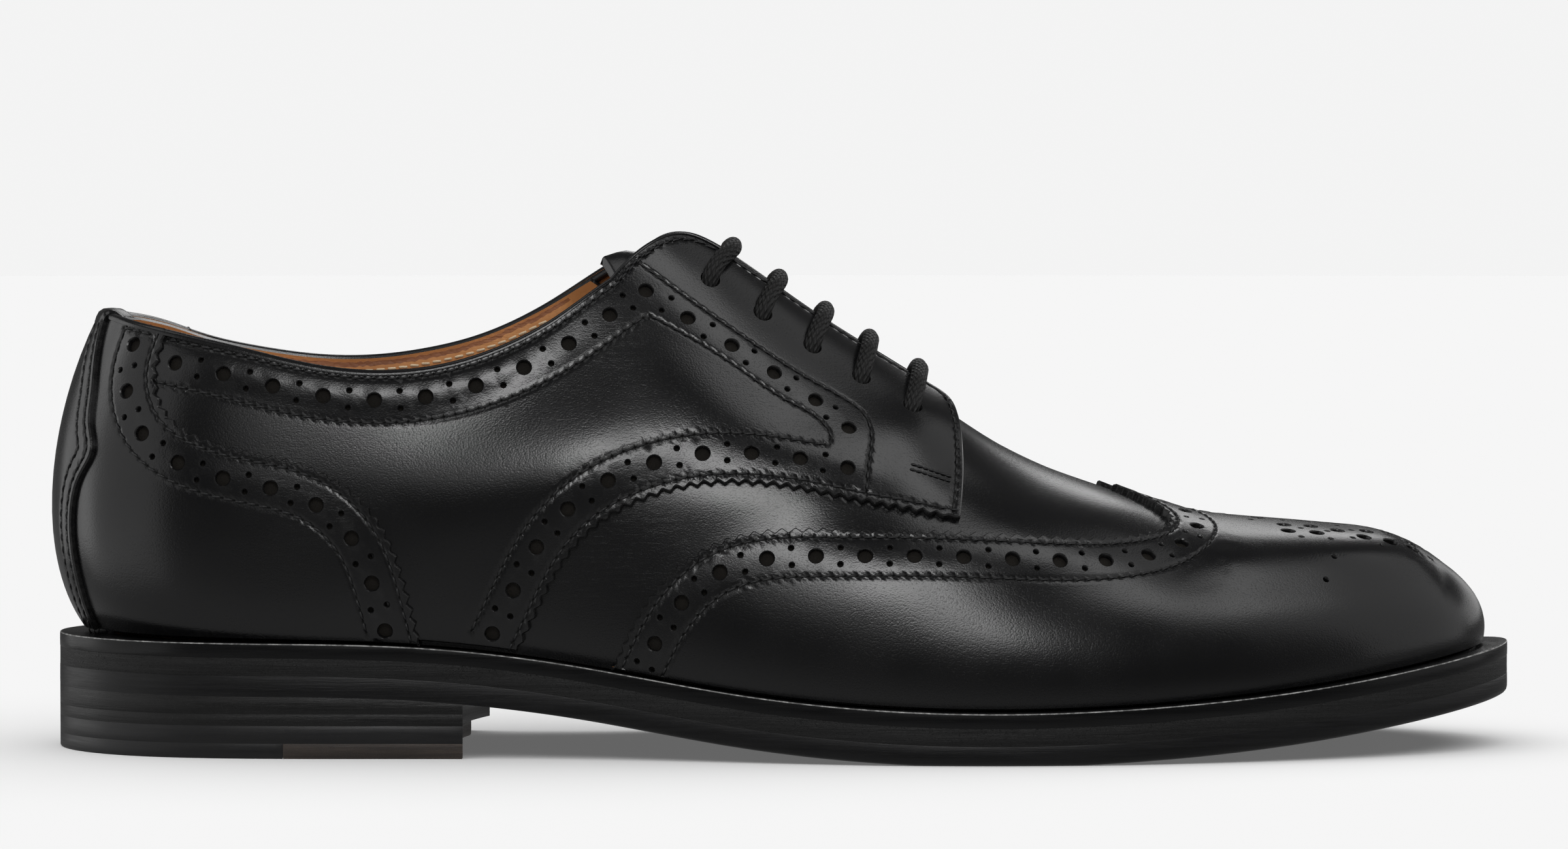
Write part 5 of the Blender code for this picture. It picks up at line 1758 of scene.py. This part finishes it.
def make_sole(finishes):
    """Welt, midsole, outsole and the sock inside."""
    ways = np.linspace(0.0, ROUND, 560, endpoint=False)
    margin = margin_of(ways)

    def ring(outset, depth):
        plan = sole_outline(ways, margin + outset)
        edge = sole_outline(ways, margin)
        return np.column_stack([plan, seat_z(edge[:, 0]) - depth])

    welt_side = [
        # outset  below the welt's top
        (-0.5,  0.0),
        (-0.2,  0.03),
        (-0.06, 0.12),
        (0.0,   0.3),
        (0.02,  1.6),
        (0.0,   2.9),
        (-0.04, WELT_BOTTOM),
    ]
    inner = sole_outline(ways, np.full(len(ways), -WELT_INSIDE))
    hollow = [np.column_stack([inner, seat_z(inner[:, 0]) - depth]) for depth in (0.0, WELT_BOTTOM)]
    # the third ring, the welt's top bevel, is marked fully for the painted glint
    piece = sole_layer("welt_edge", [ring(*row) for row in welt_side], None, None, finishes["welt"],
                       [0.0, 0.15, 1.0, 0.0, 0.0, 0.0, 0.0], hollow=hollow)
    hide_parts("welt")

    mid_side = [
        # outset  below the welt's top
        (-0.1,  WELT_BOTTOM - 0.05),
        (-0.04, WELT_BOTTOM + 0.12),
        (-0.04, 4.9),
        (-0.03, MIDSOLE_BOTTOM - 0.1),
        (-0.06, MIDSOLE_BOTTOM),
    ]
    piece = sole_layer("midsole_edge", [ring(*row) for row in mid_side], under_seat(WELT_BOTTOM - 0.05),
                       under_seat(MIDSOLE_BOTTOM), finishes["midsole"], [0.0, 0.3, 0.0, 0.3, 0.0], step=9.0)
    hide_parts("midsole")

    edge = sole_outline(ways, margin)
    round_off = SOLE_ROUND * smoothstep(-62.0, -35.0, edge[:, 0])
    low = outsole_floor(edge)
    top_z = seat_z(edge[:, 0])
    rings = [np.column_stack([sole_outline(ways, margin - 0.06), top_z - MIDSOLE_BOTTOM + 0.02])]
    rings.append(np.column_stack([edge, top_z - MIDSOLE_BOTTOM - 0.12]))
    rings.append(np.column_stack([sole_outline(ways, margin + 0.02), low + round_off + 0.9]))
    for angle in np.radians([0.0, 25.0, 50.0, 72.0, 90.0]):
        plan = sole_outline(ways, margin - round_off * (1.0 - np.cos(angle)))
        rings.append(np.column_stack([plan, low + round_off * (1.0 - np.sin(angle))]))
    piece = sole_layer("outsole_edge", rings, under_seat(MIDSOLE_BOTTOM - 0.02), outsole_floor,
                       finishes["outsole"], [0.0, 0.2, 0.0, 0.0, 0.3, 0.5, 0.4, 0.2])
    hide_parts("outsole")

    rings = []
    for inset, level in ((1.9, INSOLE_TOP), (1.3, INSOLE_TOP - 0.45), (1.3, 0.4), (INSOLE_INSIDE, 0.3),
                         (INSOLE_INSIDE, -INSOLE_BOTTOM)):
        bed = sole_outline(ways[::2], np.full(len(ways[::2]), -inset))
        rings.append(np.column_stack([bed, seat_z(bed[:, 0]) + level]))
    piece = sole_layer("sock", rings, under_seat(-INSOLE_TOP), under_seat(INSOLE_BOTTOM), finishes["sock"])
    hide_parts("insole")


def heel_loop(corner):
    """Heel outline with its hollow breast; `corner` trims the inner front corner."""
    ways = np.linspace(-110.0, 110.0, 221)
    edge = sole_outline(ways, margin_of(ways))
    lateral = edge[ways >= 0.0]
    medial = edge[ways < 0.0]
    y_lateral = float(np.interp(BREAST_LATERAL, lateral[:, 0], lateral[:, 1]))
    y_medial = float(np.interp(BREAST_MEDIAL, medial[::-1, 0], medial[::-1, 1]))
    across = np.linspace(y_lateral, y_medial, 61)
    middle = (across - y_lateral) / (y_medial - y_lateral)
    breast = BREAST_LATERAL + (BREAST_MEDIAL - BREAST_LATERAL) * middle
    breast = breast - BREAST_HOLLOW * (1.0 - (2.0 * middle - 1.0) ** 2)
    front = np.stack([breast, across], axis=1)
    medial_end = BREAST_MEDIAL - 0.6
    if corner:
        cut = BREAST_MEDIAL - CORNER_ALONG
        y_cut = float(np.interp(cut, medial[::-1, 0], medial[::-1, 1]))
        front = np.concatenate([front[across < y_medial - CORNER_ACROSS], [(cut, y_cut)]])
        medial_end = cut - 0.6
    lateral = lateral[lateral[:, 0] < BREAST_LATERAL - 0.6]
    return np.concatenate([medial[medial[:, 0] < medial_end], lateral, front])


def clip_loop(loop, x, keep_back):
    """The part of a loop behind or ahead of a straight cut across the heel."""
    kept = []
    for a, b in zip(loop, np.roll(loop, -1, axis=0)):
        a_in = (a[0] <= x) == keep_back
        b_in = (b[0] <= x) == keep_back
        if a_in:
            kept.append(a)
        if a_in != b_in:
            share = (x - a[0]) / (b[0] - a[0])
            kept.append(a + share * (b - a))
    return np.array(kept)


def shrunk(loop, inset):
    """A plan loop moved inwards."""
    run = unit(np.roll(loop, -1, axis=0) - np.roll(loop, 1, axis=0))
    turn = 1.0 if turns_left(loop) else -1.0
    return loop + np.stack([-run[:, 1], run[:, 0]], axis=1) * inset * turn


def heel_layer(name, loop, top, bottom, finish_made, node_name, soft_top=0.04, soft_bottom=0.04):
    """A lift of the heel between two levels, its edges a little broken."""
    if not turns_left(loop):
        loop = loop[::-1]
    levels = [
        # inset       level   shift
        (soft_top,    top,    0.0),
        (0.0,         top,    -soft_top * 1.6),
        (0.0,         bottom, soft_bottom * 1.6),
        (soft_bottom, bottom, 0.0),
    ]
    rings = []
    for inset, level, shift in levels:
        plan = shrunk(loop, inset)
        rings.append(np.column_stack([plan, level(loop) + shift]))
    piece = sole_layer(name, rings, top, bottom, finish_made, [0.0, 0.5, 0.3, 0.0], step=7.0)
    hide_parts(node_name)


def make_heel(finishes):
    """Lift, block, rubber top piece and leather inset."""
    whole = heel_loop(False)
    trimmed = heel_loop(True)
    heel_layer("heel_lift_edge", whole, under_seat(OUTSOLE_BOTTOM - 0.02), even(LIFT_FLOOR), finishes["heel"],
               "heel_lift")
    heel_layer("heel_block_upper", whole, even(LIFT_FLOOR + 0.02), even(BLOCK_LINE), finishes["heel"],
               "heel_block", 0.04, 0.03)
    heel_layer("heel_block_lower", whole, even(BLOCK_LINE + 0.02), even(TOP_PIECE), finishes["rubber"],
               "heel_block", 0.03, 0.03)
    back = clip_loop(trimmed, INSET_BACK, True)
    front = clip_loop(trimmed, INSET_BACK + 0.02, False)
    heel_layer("heel_top_rubber", back, even(TOP_PIECE + 0.02), even(0.0), finishes["rubber"],
               "heel_top_piece", 0.03, 0.2)
    heel_layer("heel_inset_leather", front, even(TOP_PIECE + 0.02), even(0.0), finishes["inset"],
               "heel_inset", 0.03, 0.2)


# Studio

def make_floor():
    """A wide pale floor, not mirrored in the leather."""
    material, tree, shader = finish("pale_floor", 0.9, specular=0.0)
    mottle = noise(tree, leather_space(tree, 0.004), 1.0, 2.0)
    tone = mixed(tree, mottle, (0.895, 0.895, 0.895), (0.9, 0.9, 0.9))
    plug(tree, shader, "Base Color", tone)
    shader.inputs["Emission Color"].default_value = (1.0, 1.0, 1.0, 1.0)
    shader.inputs["Emission Strength"].default_value = 0.12
    sides = 96
    turn = np.linspace(0.0, 2.0 * np.pi, sides, endpoint=False)
    rings = [0.4, 1.2, 3.0, 8.0]
    vertices = [(0.0, 0.0, 0.0)] + [(r * np.cos(t), r * np.sin(t), 0.0) for r in rings for t in turn]
    numbers = np.arange(1, 1 + len(rings) * sides).reshape(len(rings), sides)
    faces = [(0, int(a), int(b)) for a, b in zip(numbers[0], np.roll(numbers[0], -1))]
    for inner, outer in zip(numbers[:-1], numbers[1:]):
        faces += strip_faces(inner, outer).tolist()
    mesh = bpy.data.meshes.new("floor")
    mesh.from_pydata(vertices, [], faces)
    mesh.materials.append(material)
    floor = bpy.data.objects.new("floor", mesh)
    floor.visible_glossy = False
    bpy.context.scene.collection.objects.link(floor)
    return floor


def softbox(name, at, aim, width, depth, glow, apart):
    """A square panel of even glow, not seen itself."""
    light = bpy.data.lights.new(name, "AREA")
    light.shape = "RECTANGLE"
    light.size = width
    light.size_y = depth
    light.energy = glow * np.pi * width * depth
    lamp = bpy.data.objects.new(name, light)
    lamp.location = at
    lamp.rotation_euler = (aim - at).to_track_quat("-Z", "Y").to_euler()
    lamp.visible_camera = False
    lamp.light_linking.receiver_collection = apart
    bpy.context.scene.collection.objects.link(lamp)


def make_studio(floor):
    """Soft panels round the shoe; a wide sky lights the floor, which the panels leave alone."""
    world = bpy.data.worlds.new("studio")
    world.use_nodes = True
    tree = world.node_tree
    dim = tree.nodes["Background"]
    split = tree.nodes.new("ShaderNodeSeparateXYZ")
    tree.links.new(tree.nodes.new("ShaderNodeTexCoord").outputs["Generated"], split.inputs[0])
    floor_glow = ramp(tree, split.outputs[2], -0.45, 0.1, 0.32, 0.08)
    plug(tree, dim, "Color", floor_glow)
    dim.inputs["Strength"].default_value = 1.0
    pale = node(tree, "ShaderNodeBackground", Color=(1.0, 1.0, 1.0, 1.0), Strength=BACKDROP)
    seen = tree.nodes.new("ShaderNodeLightPath").outputs["Is Camera Ray"]
    choose = node(tree, "ShaderNodeMixShader", _0=seen, _1=dim.outputs[0], _2=pale.outputs[0])
    tree.links.new(choose.outputs[0], tree.nodes["World Output"].inputs["Surface"])
    bpy.context.scene.world = world
    apart = bpy.data.collections.new("lit_by_sky_alone")
    apart.objects.link(floor)
    apart.collection_objects[0].light_linking.link_state = "EXCLUDE"
    sky = bpy.data.lights.new("sky", "SUN")
    sky.energy = 2.55
    sky.angle = np.radians(110.0)
    lamp = bpy.data.objects.new("sky", sky)
    lamp.visible_glossy = False
    bpy.context.scene.collection.objects.link(lamp)
    for name, side, rise, far, width, depth, glow in PANELS:
        sideways = np.radians(side)
        up = np.radians(rise)
        ahead = np.cos(sideways)
        away = Vector((np.sin(sideways), -ahead * np.cos(up), ahead * np.sin(up)))
        softbox(name, PANEL_AIM + away * far, PANEL_AIM, width, depth, glow, apart)


def make_camera():
    lens = bpy.data.cameras.new("camera")
    lens.sensor_width = 36.0
    lens.lens = CAMERA_LENS
    lens.clip_start = 0.01
    camera = bpy.data.objects.new("camera", lens)
    at = Vector((np.array(CAMERA_AT) + ROW_MOVE) * MM)
    aim = Vector((np.array(CAMERA_AIM) + ROW_MOVE) * MM)
    camera.location = at
    camera.rotation_euler = (aim - at).to_track_quat("-Z", "Y").to_euler()
    bpy.context.scene.collection.objects.link(camera)
    bpy.context.scene.camera = camera
    bpy.context.scene.view_settings.view_transform = "Standard"


def main():
    finishes = make_finishes()
    make_camera()
    make_studio(make_floor())
    make_upper(finishes)
    make_wing_cap(finishes)
    for side in SIDES:
        make_quarter(side, finishes)
        make_counter(side, finishes)
    make_back_strip(finishes)
    make_back_tab(finishes)
    make_tongue(finishes)
    make_collar_roll(finishes)
    for group in list(THREADS):
        join_threads(group, finishes["thread"])
    make_lining_band(finishes)
    make_lining_stitches(finishes)
    make_laces(finishes)
    make_sole(finishes)
    make_heel(finishes)


main()
